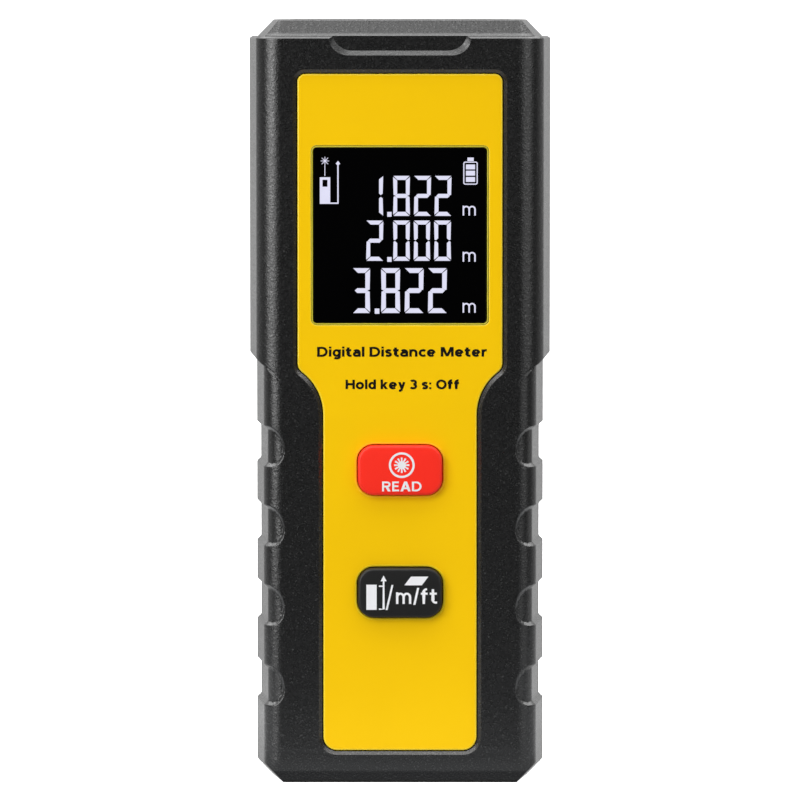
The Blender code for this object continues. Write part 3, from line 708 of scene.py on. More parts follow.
sleeve_band = satin("cell_band", (0.5, 0.5, 0.51), (0.56, 0.56, 0.57), 0.3)
foil = metal("label_foil", (0.42, 0.42, 0.43), 0.42, stretch=(1, 1, 0.05), grain=6000.0)


def optic(name, tint, rough=0.02):
    mat, nodes, links, shader = principled(name, tint, rough)
    shader.inputs["Transmission Weight"].default_value = 0.9
    shader.inputs["IOR"].default_value = 1.5
    shader.inputs["Coat Weight"].default_value = 0.6
    shader.inputs["Coat Tint"].default_value = (0.75, 0.8, 1.0, 1.0)
    fine = noise(nodes, links, 300.0, 1.0, 0.5)
    links.new(ramp(nodes, links, fine.outputs["Fac"], ((0.3, tuple(c * 0.96 for c in tint)), (0.7, tint))), shader.inputs["Base Color"])
    return mat


glass = optic("coated_glass", (0.72, 0.82, 0.92))
smoke = optic("smoked_window", (0.30, 0.10, 0.14), 0.03)

# ================================================================ shells
bezel_hole = rounded(15.3, 6.5, 2.9, 8, 0.0, OPTIC_Y)


def scoop():
    """The shallow recess under the bevel, with a sloped ledge round it."""
    rings = []
    for hw, z_low, y in ((10.27, 99.44, Y_FRONT - 0.5), (9.14, 100.78, Y_FRONT + 0.46)):
        right = []
        for k in range(13):
            a = math.radians(-90 + 90 * k / 12)
            right.append((hw - 2.6 + 2.6 * math.cos(a), z_low + 2.3 + 2.3 * math.sin(a)))
        right.append((hw + 0.04, Z_RIM + 0.3))
        pts = right + [(-x, z) for x, z in reversed(right)]
        rings.append([(x, y, z) for x, z in pts])
    return loft(rings)


front = outer_half(-1)
front = minus(
    front,
    prism(cavity_outline(), "y", -8.35, Y_PART + 1),
    flared(lambda g: panel_outline(g), ((-9.55, 0.15), (-11.0, 0.15), (-11.4, 0.62), (-11.9, 1.2))),
    prism(rounded(11.3, 11.35, 0.5, 2, 0.0, 75.25), "y", -11.0, -7.3),
    prism(key_outline(MEASURE_Z, 0.35), "y", -11.0, -7.3),
    prism(key_outline(UNITS_Z, 0.35), "y", -11.0, -7.3),
    prism(bezel_hole, "z", LENGTH - 4, LENGTH + 2),
    scoop(),
)
piece(front, "shell_front", black, "housing", ["front_shell"], angle=27)


def door_outline(grow, n=6):
    return rounded(DOOR_HW + grow, (DOOR_Z[1] - DOOR_Z[0]) / 2 + grow, 1.0 + grow * 0.5, n, 0.0, sum(DOOR_Z) / 2)


def label_outline(grow, n=6):
    return rounded(12.0 + grow, 15.0 + grow, 1.1 + grow, n, 0.0, 79.5)


def round_cutter(x, z, r0, levels, steps=40):
    return lathe([(0.0, levels[0][0])] + [(r0 + g, y) for y, g in levels] + [(0.0, levels[-1][0])], "y", (x, z), steps)


rear = outer_half(1)
rear = minus(rear, prism(cavity_outline(), "y", Y_PART - 1, Y_BACK - WALL))
rear = plus(
    rear,
    box(-12.0, 12.0, -1.6, 10.7, BAY_Z[0] - 1.0, BAY_Z[1] + 1.0),
    *[lathe([(0.0, 0.7), (2.6, 0.7), (2.6, 11.0), (0.0, 11.0)], "y", (x, z), 24) for x, z in CASE_SCREWS],
)
rear = minus(
    rear,
    box(-BAY_HW, BAY_HW, -0.6, Y_BACK - WALL, *BAY_Z),
    box(-BAY_HW, BAY_HW, 10.0, 11.0, DOOR_Z[0] - 0.3, BAY_Z[1]),
    flared(door_outline, ((10.6, 0.3), (11.95, 0.3), (12.2, 0.5), (13.0, 1.2))),
    prism(bezel_hole, "z", LENGTH - 4, LENGTH + 2),
    flared(label_outline, ((11.55, 0.0), (12.0, 0.05), (12.2, 0.25), (12.8, 0.9))),
    *[round_cutter(x, z, 2.05, ((8.8, 0.0), (11.95, 0.0), (12.2, 0.25), (13.4, 1.45))) for x, z in CASE_SCREWS],
    *[lathe([(0.0, 0.0), (1.35, 0.0), (1.35, 9.5), (0.0, 9.5)], "y", (x, z), 16) for x, z in CASE_SCREWS],
)
piece(rear, "shell_rear", black, "housing", ["rear_shell"], angle=27)

# ================================================================ face panel
# the seal's flat lip, which closes the parting line just inside the edge
lip = [(17.0, 0.6), (19.0, 2.25), (19.0, 57.4), (20.1, 59.5), (20.1, 101.9), (18.7, 102.9), (17.2, 104.4), (16.3, 104.4)]
lip += [(16.3, 103.1), (17.3, 101.5), (17.3, 4.8), (14.4, 1.75)]
piece(prism(lip + [(-x, z) for x, z in reversed(lip)], "y", 0.27, 0.53), "seal_lip", rubber, "housing", angle=30)


def rolled(bm, outline, inward, radius, drop, y_top, steps=5):
    """Loops of a rounded edge, from the wall (first) to the face (last)."""
    loops = []
    for k in range(steps + 1):
        a = math.radians(90 * k / steps)
        reach = radius * (1 - math.cos(a))
        loops.append(loop_at(bm, outline(inward * reach), y_top + drop * (1 - math.sin(a))))
    return loops


bm = bmesh.new()
painted_highlight_faces = []
outer_back = loop_at(bm, panel_outline(0.0), -9.85)
loops = [outer_back, *rolled(bm, panel_outline, -1, 0.22, 0.17, PANEL_TOP_Y)]
for a, b in zip(loops, loops[1:]):
    before = len(bm.faces)
    band(bm, a, b)
    bm.faces.ensure_lookup_table()
    painted_highlight_faces += bm.faces[before:]
front_loops, back_loops = [loops[-1]], [outer_back]
for hole, gap, wide, drop in (
    (window_outline, 0.34, 0.12, 0.1),
    (lambda g: key_outline(MEASURE_Z, g), 0.12, 0.28, 0.14),
    (lambda g: key_outline(UNITS_Z, g), 0.12, 0.28, 0.14),
):
    back = loop_at(bm, hole(gap), -9.85)
    loops = [back, *rolled(bm, lambda g: hole(gap + g), 1, wide, drop, PANEL_TOP_Y)]
    for a, b in zip(loops, loops[1:]):
        before = len(bm.faces)
        band(bm, a, b)
        bm.faces.ensure_lookup_table()
        painted_highlight_faces += bm.faces[before:]
    front_loops.append(loops[-1])
    back_loops.append(back)
# the rounded edge faces take the lighter yellow, a painted highlight
for f in painted_highlight_faces:
    f.material_index = 1
sheet_with_holes(bm, front_loops)
sheet_with_holes(bm, back_loops)
panel = piece(bm, "panel_yellow", yellow, "housing", ["face_panel"], angle=50)
panel.data.materials.append(yellow_edge_painted_highlight)

# thin rim of the panel round the window
bm = bmesh.new()
rim_loops = []
for grow, y in ((0.29, -9.85), (0.29, PANEL_TOP_Y + 0.09), (0.27, PANEL_TOP_Y + 0.03), (0.21, PANEL_TOP_Y), (0.13, PANEL_TOP_Y + 0.02), (0.09, PANEL_TOP_Y + 0.08), (0.07, -9.85)):
    rim_loops.append(loop_at(bm, window_outline(grow), y))
for a, b in zip(rim_loops, rim_loops[1:] + rim_loops[:1]):
    band(bm, a, b)
piece(bm, "window_rim", rim_olive, "housing", angle=60)

# display window
bm = loft(
    [
        [(x, -9.9, z) for x, z in window_outline(0.0)],
        [(x, WINDOW_Y + 0.08, z) for x, z in window_outline(0.0)],
        [(x, WINDOW_Y, z) for x, z in window_outline(-0.08)],
    ]
)
piece(bm, "window_display", window_mat, "housing", ["display_window"])


# ================================================================ display figures
SEGMENTS = {"0": "abcdef", "1": "bc", "2": "abged", "3": "abgcd", "8": "abcdefg"}
LIT_Y = WINDOW_Y - 0.02


def figure(ch, x0, x1, z0, z1, t, gap=0.05):
    """One seven-segment figure with mitred ends."""
    zm = (z0 + z1) / 2
    g = gap
    lean = 0.1
    shapes = {
        "a": [(x0 + g, z1), (x1 - g, z1), (x1 - g - t, z1 - t), (x0 + g + t, z1 - t)],
        "d": [(x0 + g, z0), (x0 + g + t, z0 + t), (x1 - g - t, z0 + t), (x1 - g, z0)],
        "b": [(x1, z1 - g - lean), (x1 - lean * 0.6, zm + g + lean), (x1 - t * 0.45, zm + g), (x1 - t, zm + g + t / 2), (x1 - t, z1 - g - t)],
        "c": [(x1, z0 + g + lean), (x1 - t, z0 + g + t), (x1 - t, zm - g - t / 2), (x1 - t * 0.45, zm - g), (x1 - lean * 0.6, zm - g - lean)],
        "f": [(x0, z1 - g - lean), (x0 + t, z1 - g - t), (x0 + t, zm + g + t / 2), (x0 + t * 0.45, zm + g), (x0 + lean * 0.6, zm + g + lean)],
        "e": [(x0, z0 + g + lean), (x0 + lean * 0.6, zm - g - lean), (x0 + t * 0.45, zm - g), (x0 + t, zm - g - t / 2), (x0 + t, z0 + g + t)],
        "g": [
            (x0 + g + t * 0.35, zm),
            (x0 + g + t * 0.85, zm + t / 2),
            (x1 - g - t * 0.85, zm + t / 2),
            (x1 - g - t * 0.35, zm),
            (x1 - g - t * 0.85, zm - t / 2),
            (x0 + g + t * 0.85, zm - t / 2),
        ],
    }
    return [shapes[k] for k in SEGMENTS[ch]]


def small_m(x, z, high):
    """The unit sign: a thin lower-case m."""
    w = 0.21
    arch = [(x + 0.1, z + high - 0.75)]
    out = [rect(x, x + w, z, z + high)]
    for x0 in (x + w / 2, x + w / 2 + 0.8):
        turn = [(x0 + 0.4 - 0.4 * math.cos(math.pi * k / 10), z + high - 0.5 + 0.39 * math.sin(math.pi * k / 10)) for k in range(11)]
        out += pen([*turn, (x0 + 0.8, z)], w, w * 0.95)
    return out


shapes = []
for text, spans, z0, z1, t in (
    ("822", ((-0.92, 1.4), (1.95, 4.32), (4.79, 7.14)), 78.01, 83.54, 0.56),
    ("2000", ((-4.64, -2.27), (-0.92, 1.4), (1.92, 4.2), (4.74, 7.07)), 71.8, 77.37, 0.56),
    ("3822", ((-6.49, -4.1), (-2.58, 0.05), (0.67, 3.3), (3.89, 6.52)), 64.57, 70.78, 0.66),
):
    for ch, (x0, x1) in zip(text, spans):
        shapes += figure(ch, x0, x1, z0, z1, t)
# the leading one of the first row is a single bar
shapes += [
    [(-2.86, 83.05), (-2.86, 81.1), (-2.62, 80.88), (-2.36, 81.1), (-2.3, 83.5)],
    [(-2.86, 78.5), (-2.86, 80.42), (-2.62, 80.64), (-2.36, 80.42), (-2.3, 78.04)],
]
for x0, x1, z0, z1 in ((-1.73, -1.13, 77.89, 78.56), (-1.73, -1.13, 71.66, 72.32), (-3.46, -2.82, 64.47, 65.19)):
    shapes.append(rect(x0, x1, z0, z1))
for z in (78.06, 71.68, 64.62):
    shapes += small_m(8.68, z, 1.36)
# battery sign: case, nub and three bars
shapes.append(rect(9.34, 10.2, 85.58, 86.07))
shapes += pen([(x, z) for x, z in rounded(0.92, 1.52, 0.2, 3, 9.76, 83.92)], 0.15, 0.15, True)
shapes += [rect(9.13, 10.39, z, z + 0.67) for z in (84.44, 83.58, 82.71)]
# reference-edge sign: the meter, its beam and an arrow from its lower edge
shapes += [
    rect(-10.39, -10.29, 83.54, 85.01),
    rect(-11.04, -10.67, 79.67, 83.35),
    rect(-9.98, -9.6, 79.67, 83.35),
    rect(-10.67, -9.98, 83.0, 83.35),
    rect(-10.67, -9.98, 79.67, 82.04),
    rect(-9.6, -8.44, 79.67, 79.86),
    rect(-8.63, -8.44, 79.67, 85.1),
    [(-8.85, 85.22), (-8.53, 84.95), (-8.22, 85.22), (-8.53, 85.62)],
]
for k in range(8):
    a = math.pi * k / 4
    c, q = math.cos(a), math.sin(a)
    r0, r1 = (0.1, 0.58) if k % 2 == 0 else (0.1, 0.62)
    shapes.append([(-10.33 + r * c - w * q, 85.6 + r * q + w * c) for r, w in ((r0, -0.055), (r1, -0.04), (r1, 0.04), (r0, 0.055))])
shapes.append(disc(-10.33, 85.6, 0.17, 12))
shapes = [[(x * 0.992 - 0.03, 83.66 - (83.54 - z) * 0.991) for x, z in q] for q in shapes]
piece(flat_print(shapes, LIT_Y, 0.01), "display_figures", lit, "housing", smooth=False)


# ================================================================ lettering
STEM, X_HIGH = 0.21, 0.75


def arc(cx, cz, rx, rz, a0, a1, n=10):
    return [(cx + rx * math.cos(math.radians(a0 + (a1 - a0) * k / n)), cz + rz * math.sin(math.radians(a0 + (a1 - a0) * k / n))) for k in range(n + 1)]


def through(points, n=4):
    """A smooth line through the points."""
    out = []
    pts = [points[0], *points, points[-1]]
    for p0, p1, p2, p3 in zip(pts, pts[1:], pts[2:], pts[3:]):
        for k in range(n):
            t = k / n
            out.append(tuple(0.5 * (2 * b + (c - a) * t + (2 * a - 5 * b + 4 * c - d) * t * t + (3 * b - a - 3 * c + d) * t**3) for a, b, c, d in zip(p0, p1, p2, p3)))
    return [*out, tuple(points[-1])]


def slant(x0, z0, x1, z1, w):
    return ("area", [(x0 - w / 2, z0), (x0 + w / 2, z0), (x1 + w / 2, z1), (x1 - w / 2, z1)])


def dot(x, z, size=0.21):
    return ("area", rect(x - size / 2, x + size / 2, z, z + size * 0.95))


S_LINE = [(0.50, 0.60), (0.38, 0.655), (0.24, 0.655), (0.125, 0.585), (0.13, 0.49), (0.22, 0.42), (0.36, 0.365), (0.465, 0.29), (0.465, 0.18), (0.36, 0.095), (0.21, 0.09), (0.075, 0.15)]
BOWL = ("ring", arc(0.345, 0.375, 0.24, 0.285, 0, 345, 23))
# each letter: its width in capitals' heights, then its strokes
LETTERS = {
    " ": (0.24,),
    "i": (0.21, ("line", [(0.105, 0), (0.105, 0.75)]), dot(0.105, 0.84)),
    "l": (0.21, ("line", [(0.105, 0), (0.105, 1.03)])),
    "t": (0.5, ("line", [(0.215, 0.95), (0.215, 0.24), *arc(0.385, 0.24, 0.17, 0.15, 180, 270, 6), (0.5, 0.09)]), ("line", [(0.0, 0.66), (0.48, 0.66)])),
    "a": (
        0.68,
        ("line", [*arc(0.34, 0.44, 0.235, 0.22, 148, 0), (0.575, 0.0)]),
        ("line", [(0.575, 0.42), (0.32, 0.42), *arc(0.30, 0.255, 0.195, 0.165, 90, 270), (0.42, 0.10), (0.52, 0.16), (0.575, 0.24)]),
    ),
    "n": (0.7, ("line", [(0.105, 0), (0.105, 0.75)]), ("line", [*arc(0.35, 0.42, 0.245, 0.24, 180, 0), (0.595, 0)])),
    "m": (
        1.08,
        ("line", [(0.105, 0), (0.105, 0.75)]),
        ("line", [*arc(0.3225, 0.42, 0.2175, 0.24, 180, 0), (0.54, 0)]),
        ("line", [*arc(0.7575, 0.42, 0.2175, 0.24, 180, 0), (0.975, 0)]),
    ),
    "s": (0.58, ("line", through(S_LINE))),
    "c": (0.6, ("line", arc(0.38, 0.375, 0.275, 0.285, 48, 312, 18))),
    "e": (0.74, ("line", [(0.13, 0.37), (0.63, 0.37)]), ("line", arc(0.37, 0.375, 0.265, 0.285, 0, 318, 20))),
    "r": (0.48, ("line", [(0.105, 0), (0.105, 0.75)]), ("line", arc(0.375, 0.40, 0.27, 0.26, 180, 75, 8))),
    "o": (0.76, ("ring", arc(0.38, 0.375, 0.275, 0.285, 0, 345, 23))),
    "d": (0.7, BOWL, ("line", [(0.595, 0), (0.595, 1.03)])),
    "g": (0.7, BOWL, ("line", [(0.595, 0.75), (0.595, 0.0), *arc(0.345, -0.03, 0.25, 0.14, 0, -140, 9)])),
    "k": (0.68, ("line", [(0.105, 0), (0.105, 1.03)]), slant(0.2, 0.27, 0.53, 0.75, 0.27), slant(0.55, 0, 0.27, 0.45, 0.27)),
    "y": (0.7, slant(0.37, 0.02, 0.13, 0.75, 0.24), ("line", [(0.585, 0.75), (0.36, 0.03), (0.31, -0.1), (0.22, -0.165), (0.08, -0.165)])),
    "f": (0.5, ("line", [(0.2, 0), (0.2, 0.8), *arc(0.4, 0.8, 0.2, 0.14, 180, 85, 6)]), ("line", [(0.0, 0.66), (0.46, 0.66)])),
    "D": (0.9, ("ring", [(0.105, 0.09), (0.105, 0.5), (0.105, 0.91), *arc(0.4, 0.5, 0.395, 0.41, 90, -90, 14)])),
    "M": (1.1, ("line", [(0.105, 0), (0.105, 1)]), ("line", [(0.995, 0), (0.995, 1)]), ("area", [(0.0, 1), (0.3, 1), (0.66, 0.04), (0.44, 0.04)]), ("area", [(1.1, 1), (0.8, 1), (0.44, 0.04), (0.66, 0.04)])),
    "H": (0.86, ("line", [(0.105, 0), (0.105, 1)]), ("line", [(0.755, 0), (0.755, 1)]), ("line", [(0.1, 0.52), (0.76, 0.52)])),
    "O": (0.98, ("ring", arc(0.49, 0.5, 0.385, 0.41, 0, 348, 29))),
    "3": (0.64, ("line", arc(0.28, 0.715, 0.235, 0.195, 150, -85, 14)), ("line", arc(0.27, 0.3, 0.265, 0.21, 85, -150, 16))),
    ":": (0.21, dot(0.105, 0.0), dot(0.105, 0.5)),
    "R": (0.82, ("line", [(0.105, 0), (0.105, 1)]), ("line", [(0.105, 0.91), (0.44, 0.91), *arc(0.46, 0.7, 0.235, 0.21, 80, -80, 10), (0.44, 0.49), (0.105, 0.49)]), slant(0.67, 0, 0.42, 0.5, 0.26)),
    "E": (0.66, ("line", [(0.105, 0), (0.105, 1)]), ("line", [(0.1, 0.91), (0.62, 0.91)]), ("line", [(0.1, 0.52), (0.58, 0.52)]), ("line", [(0.1, 0.09), (0.64, 0.09)])),
    "A": (0.94, slant(0.12, 0, 0.46, 1, 0.24), slant(0.82, 0, 0.48, 1, 0.24), ("line", [(0.2, 0.31), (0.74, 0.31)])),
    "/": (0.42, slant(0.08, -0.06, 0.34, 1.03, 0.15)),
}


def lettering(name, text, x0, x1, base, cap, y, mat, body, gap=0.11, weight=1.0):
    """A line of bold print from x0 to x1, its letters drawn as strokes of an oval nib."""
    natural = sum(LETTERS[ch][0] + gap for ch in text) - gap
    wide = (x1 - x0) / (natural * cap)
    shapes, at = [], 0.0
    for ch in text:
        for kind, points in LETTERS[ch][1:]:
            placed = [(x0 + (at + px) * cap * wide, base + pz * cap) for px, pz in points]
            if kind == "area":
                shapes.append(placed)
            else:
                shapes += pen(placed, STEM * cap * weight, 0.185 * cap * weight, kind == "ring")
        at += LETTERS[ch][0] + gap
    return piece(flat_print(shapes, y), name, mat, body, smooth=False)


lettering("print_title", "Digital Distance Meter", -11.35, 11.95, 58.88, 1.33, PANEL_TOP_Y - 0.014, print_black, "housing", weight=1.25)
lettering("print_hint", "Hold key 3 s: Off", -7.45, 8.15, 54.42, 1.29, PANEL_TOP_Y - 0.014, print_black, "housing", weight=1.25)


# ================================================================ keys
def key(name, z, mat, body, node, slot):
    rings = []
    for grow, y in ((0.9, -7.25), (0.9, -8.05), (0.0, -8.05)):
        rings.append([(x, y, h) for x, h in key_outline(z, grow)])
    r = 0.42
    for k in range(7):
        a = math.radians(90 * k / 6)
        rings.append([(x, KEY_Y + 0.05 + r - r * math.sin(a), h) for x, h in key_outline(z, -r + r * math.cos(a))])
    for inset, rise in ((0.9, 0.02), (1.5, 0.035), (2.0, 0.045)):
        rings.append([(x, KEY_Y + 0.05 - rise, h) for x, h in rounded(BUTTON_W / 2 - inset, BUTTON_H / 2 - inset, max(BUTTON_R - inset, 0.12), 10, 0.0, z)])
    return piece(loft(rings), name, mat, body, [node], angle=50)


key("key_red", MEASURE_Z, red, "measure_key", "measure_button", "red_key")
key("key_black", UNITS_Z, key_black, "units_key", "units_button", "black_key")

PRINT_Y = KEY_Y - 0.012

# red key: a beam sign in a ring, and a word under it
cx, cz, ring_r = 0.24, MEASURE_Z + 0.74, 1.62
shapes = pen(disc(cx, cz, ring_r, 40), 0.3, 0.3, True)
for k in range(12):
    a = 2 * math.pi * k / 12
    c, q = math.cos(a), math.sin(a)
    shapes.append([(cx + r * c - w * q, cz + r * q + w * c) for r, w in ((0.3, -0.07), (1.05, -0.13), (1.05, 0.13), (0.3, 0.07))])
shapes.append(disc(cx, cz, 0.55, 20))
piece(flat_print(shapes, PRINT_Y), "print_beam", print_white, "measure_key", smooth=False)
lettering("print_read", "READ", -2.48, 2.98, MEASURE_Z - 2.86, 1.36, PRINT_Y, print_white, "measure_key", gap=0.1, weight=0.95)

# black key: reference edge, slash, units and an area sign
shapes = [
    rect(-4.62, -3.2, -2.31, 1.15),
    *pen([(-2.9, -2.21), (-2.25, -2.21), (-2.25, 1.85)], 0.22, 0.22),
    *pen([(-2.9, 0.95), (-2.35, 0.95)], 0.2, 0.2),
    [(-2.66, 1.62), (-1.84, 1.62), (-2.25, 2.42)],
    [(-1.98, -2.34), (-1.71, -2.34), (-0.9, 1.12), (-1.17, 1.12)],
    [(0.6, 1.07), (3.0, 1.07), (3.9, 2.27), (1.5, 2.27)],
]
shapes = [[(x, UNITS_Z + z) for x, z in q] for q in shapes]
piece(flat_print(shapes, PRINT_Y), "print_edge_sign", print_white, "units_key", smooth=False)
lettering("print_units", "m/ft", -0.6, 5.1, UNITS_Z - 1.5, 2.15, PRINT_Y, print_white, "units_key", gap=0.1, weight=0.72)

# ================================================================ back: door, latch, label
def edged(outline_at, y0, y1, r, steps=5, y_first=0.0):
    """A plate from y0 to y1 whose outer edge is rounded off."""
    levels = [(y0, -y_first), (y0 + y_first, 0.0)] if y_first else [(y0, 0.0)]
    for k in range(steps + 1):
        a = math.radians(90 * k / steps)
        levels.append((y1 - r + r * math.sin(a), -r + r * math.cos(a)))
    return flared(outline_at, levels)


def rib_cutter(x, z, hw, hh, y, depth):
    """A shallow groove with sloped walls, sunk into the face at y."""
    return flared(lambda g: rounded(hw + g, hh + g, hh + g, 5, x, z), ((y - depth, -0.12), (y, 0.02), (y + 0.4, 0.1)))


door = edged(lambda g: rounded(DOOR_HW + g, (DOOR_Z[1] - DOOR_Z[0]) / 2 + g, 0.8 + g * 0.6, 8, 0.0, sum(DOOR_Z) / 2), DOOR_Y[0], DOOR_Y[1], 0.4)
tabs = []
for sign in (-1, 1):
    x0, x1 = sorted((sign * 9.2, sign * 10.7))
    tabs.append(prism([(9.1, 7.9), (9.3, 7.7), (9.9, 7.7), (10.1, 7.9), (10.1, 9.1), (11.3, 9.1), (11.3, 10.3), (9.1, 10.3)], "x", x0, x1))
tabs.append(prism([(10.4, 49.7), (11.1, 49.3), (11.1, 50.9), (10.7, 51.1), (10.7, 53.7), (10.4, 53.9)], "x", -5.6, 5.6))
door = plus(door, *tabs)
door = minus(
    door,
    flared(lambda g: rect(-LATCH_HW - 0.3 - g, LATCH_HW + 0.3 + g, LATCH_Z[0] - LATCH_TRAVEL - 0.3 - g, 60.0), ((10.72, 0.0), (11.95, 0.0), (12.25, 0.3), (13.0, 0.3))),
    *[rib_cutter(0.0, 47.2 - 1.35 * k, 4.6 - 0.9 * k, 0.34, DOOR_Y[1], 0.3) for k in range(4)],
    rib_cutter(0.0, 13.4, 8.6, 0.3, DOOR_Y[1], 0.22),
)
piece(door, "door_back", black, "battery_cover", ["battery_door"], angle=30)

latch = edged(lambda g: rounded(LATCH_HW + g, (LATCH_Z[1] - LATCH_Z[0]) / 2 + g, 0.45 + g * 0.4, 6, 0.0, sum(LATCH_Z) / 2), DOOR_Y[0], DOOR_Y[1], 0.35)
latch = plus(latch, prism([(11.3, 56.0), (10.1, 56.0), (9.9, 56.2), (9.9, 56.7), (10.3, 57.1), (11.3, 57.1)], "x", -3.0, 3.0))
latch = minus(latch, *[rib_cutter(0.0, 53.5 + 1.1 * k, 3.3, 0.3, DOOR_Y[1], 0.34) for k in range(4)])
piece(latch, "latch_ribbed", key_black, "cover_latch", ["battery_latch"], angle=30)

piece(edged(lambda g: rounded(8.0 + g, 7.0 + g, 0.7 + g, 6, 0.0, 33.0), 10.2, 10.6, 0.1, 3), "door_pad", foam, "battery_cover", ["battery_pad"], angle=50)


def label_shape(g):
    return rounded(11.8 + g, 14.8 + g, 0.9 + g, 10, 0.0, 79.5)


piece(edged(label_shape, 11.8, 12.05, 0.08, 4), "label_plain", foil, "housing", ["rear_label"], angle=40)
rules = pen(label_shape(-0.7), 0.16, 0.16, True)
rules += [rect(-9.9, 9.9, z, z + 0.14) for z in (89.0, 84.2, 79.4, 74.6)]
rules.append(rect(-0.07, 0.07, 74.67, 84.27))
rules += pen(rounded(9.2, 2.4, 0.5, 6, 0.0, 70.0), 0.14, 0.14, True)
piece(flat_print(rules, 12.052, 0.01), "label_rules", print_black, "housing", smooth=False)


# ================================================================ screws
def screw(name, x, z, head_r, head_y, shank_r, tip_y, cross):
    rows = [(0.0, tip_y), (shank_r * 0.45, tip_y), (shank_r * 0.8, tip_y + 0.6)]
    y = tip_y + 0.7
    while y < head_y[0] - 0.9:
        rows += [(shank_r * 0.8, y), (shank_r, y + 0.17), (shank_r * 0.8, y + 0.34)]
        y += 0.55
    rows += [(shank_r * 0.95, head_y[0] - 0.2), (shank_r * 0.95, head_y[0]), (head_r - 0.08, head_y[0]), (head_r, head_y[0] + 0.08)]
    rim = (head_y[1] - head_y[0]) * 0.45
    for k in range(7):
        a = math.radians(75 * k / 6)
        rows.append((head_r * (0.62 + 0.38 * math.cos(a)), head_y[1] - rim + rim * math.sin(a) / math.sin(math.radians(75))))
    rows.append((0.0, head_y[1]))
    w, reach = cross

    def star(f):
        a, b = w * (0.6 + 0.4 * f), reach * (0.35 + 0.65 * f)
        corner = [(b, -a), (b, a), (a, a)]
        out = []
        for k in range(4):
            c, q = math.cos(math.pi / 2 * k), math.sin(math.pi / 2 * k)
            out += [(x + px * c - pz * q, z + px * q + pz * c) for px, pz in corner]
        return out

    top = head_y[1]
    drive = loft([[(px, y, pz) for px, pz in star(f)] for y, f in ((top - 0.8, 0.0), (top - 0.05, 0.9), (top + 0.1, 1.05), (top + 0.6, 1.05))])
    piece(minus(lathe(rows, "y", (x, z), 40), drive), name + "_fine", steel, "housing", [name], angle=32)


for i, (x, z) in enumerate(CASE_SCREWS, 1):
    screw(f"case_screw_{i}", x, z, 1.75, (9.1, 10.5), 1.05, -6.0, (0.24, 1.0))
for i, (x, z) in enumerate(PCB_SCREWS, 1):
    screw(f"board_screw_{i}", x, z, 1.5, (-2.9, -1.9), 0.75, -7.3, (0.2, 0.8))


# ================================================================ lens end
def bezel_ring(z, hw, hh, r):
    return [(x, y, z) for x, y in rounded(hw, hh, r, 12, 0.0, OPTIC_Y)]


rings = [bezel_ring(101.7, 15.7, 6.8, 2.8), bezel_ring(101.8, 15.8, 6.9, 2.9), bezel_ring(102.8, 15.8, 6.9, 2.9), bezel_ring(102.9, 15.7, 6.8, 2.8), bezel_ring(102.9, 15.0, 6.2, 2.6)]
for k in range(6):
    a = math.radians(90 * k / 5)
    c = 0.32 * (1 - math.cos(a))
    rings.append(bezel_ring(104.7 - 0.32 + 0.32 * math.sin(a), 15.0 - c, 6.2 - c, 2.6 - c))
bezel = minus(
    loft(rings),
    lathe([(0.0, 101.0), (4.9, 101.0), (4.9, 103.1), (5.6, 103.1), (5.6, 104.56), (5.74, 104.72), (5.74, 106.0), (0.0, 106.0)], "z", (RX_X, OPTIC_Y), 80),
    lathe([(0.0, 101.0), (1.9, 101.0), (1.9, 103.1), (2.6, 103.1), (2.6, 104.4), (2.95, 104.75), (2.95, 106.0), (0.0, 106.0)], "z", (TX_X, OPTIC_Y), 56),
)
piece(bezel, "lens_surround", gloss_black, "housing", ["lens_bezel"], angle=32)
for name, node, x, r, mat in (("receiver_glass", "receiver_window", RX_X, 5.3, smoke), ("laser_glass", "laser_window", TX_X, 2.3, glass)):
    rows = [(0.0, 103.4), (r - 0.12, 103.4), (r, 103.52), (r, 104.1), (r - 0.2, 104.3), (0.0, 104.3)]
    piece(lathe(rows, "z", (x, OPTIC_Y), 80), name, mat, "housing", [node], angle=30)

# ================================================================ power
CELL_X, CELL_Y, CELL_R, CELL_L = 5.4, 4.75, 5.2, 44.5
for name, node, x, z0, up in (("cell_left", "battery_left", -CELL_X, 11.6, True), ("cell_right", "battery_right", CELL_X, 7.65, False)):

    def at(rows):
        rows = rows if up else [(r, CELL_L - t) for r, t in rows]
        return [(r, z0 + t) for r, t in rows]

    can = [(0.0, 0.12), (2.9, 0.12), (3.1, 0.0), (4.6, 0.0), (4.95, 0.12), (5.06, 0.4), (5.08, 0.9), (5.08, 42.6), (4.95, 43.1), (4.7, 43.4), (4.2, 43.5), (2.1, 43.56), (1.9, 43.7), (1.9, 44.3), (1.7, 44.5), (0.0, 44.5)]
    piece(lathe(at(can), "z", (x, CELL_Y), 64), name + "_can", tin, "housing", [node], angle=34)
    jacket = [(5.0, 0.42), (CELL_R, 0.62), (CELL_R, 33.6), (5.0, 33.6)]
    ring = [(5.0, 33.7), (CELL_R, 33.7), (CELL_R, 42.7), (5.08, 43.0), (4.8, 43.5), (4.6, 43.4)]
    piece(lathe(at(jacket), "z", (x, CELL_Y), 64, closed=True), name + "_jacket", sleeve, "housing", angle=34)
    piece(lathe(at(ring), "z", (x, CELL_Y), 64, closed=True), name + "_band", sleeve_band, "housing", angle=34)


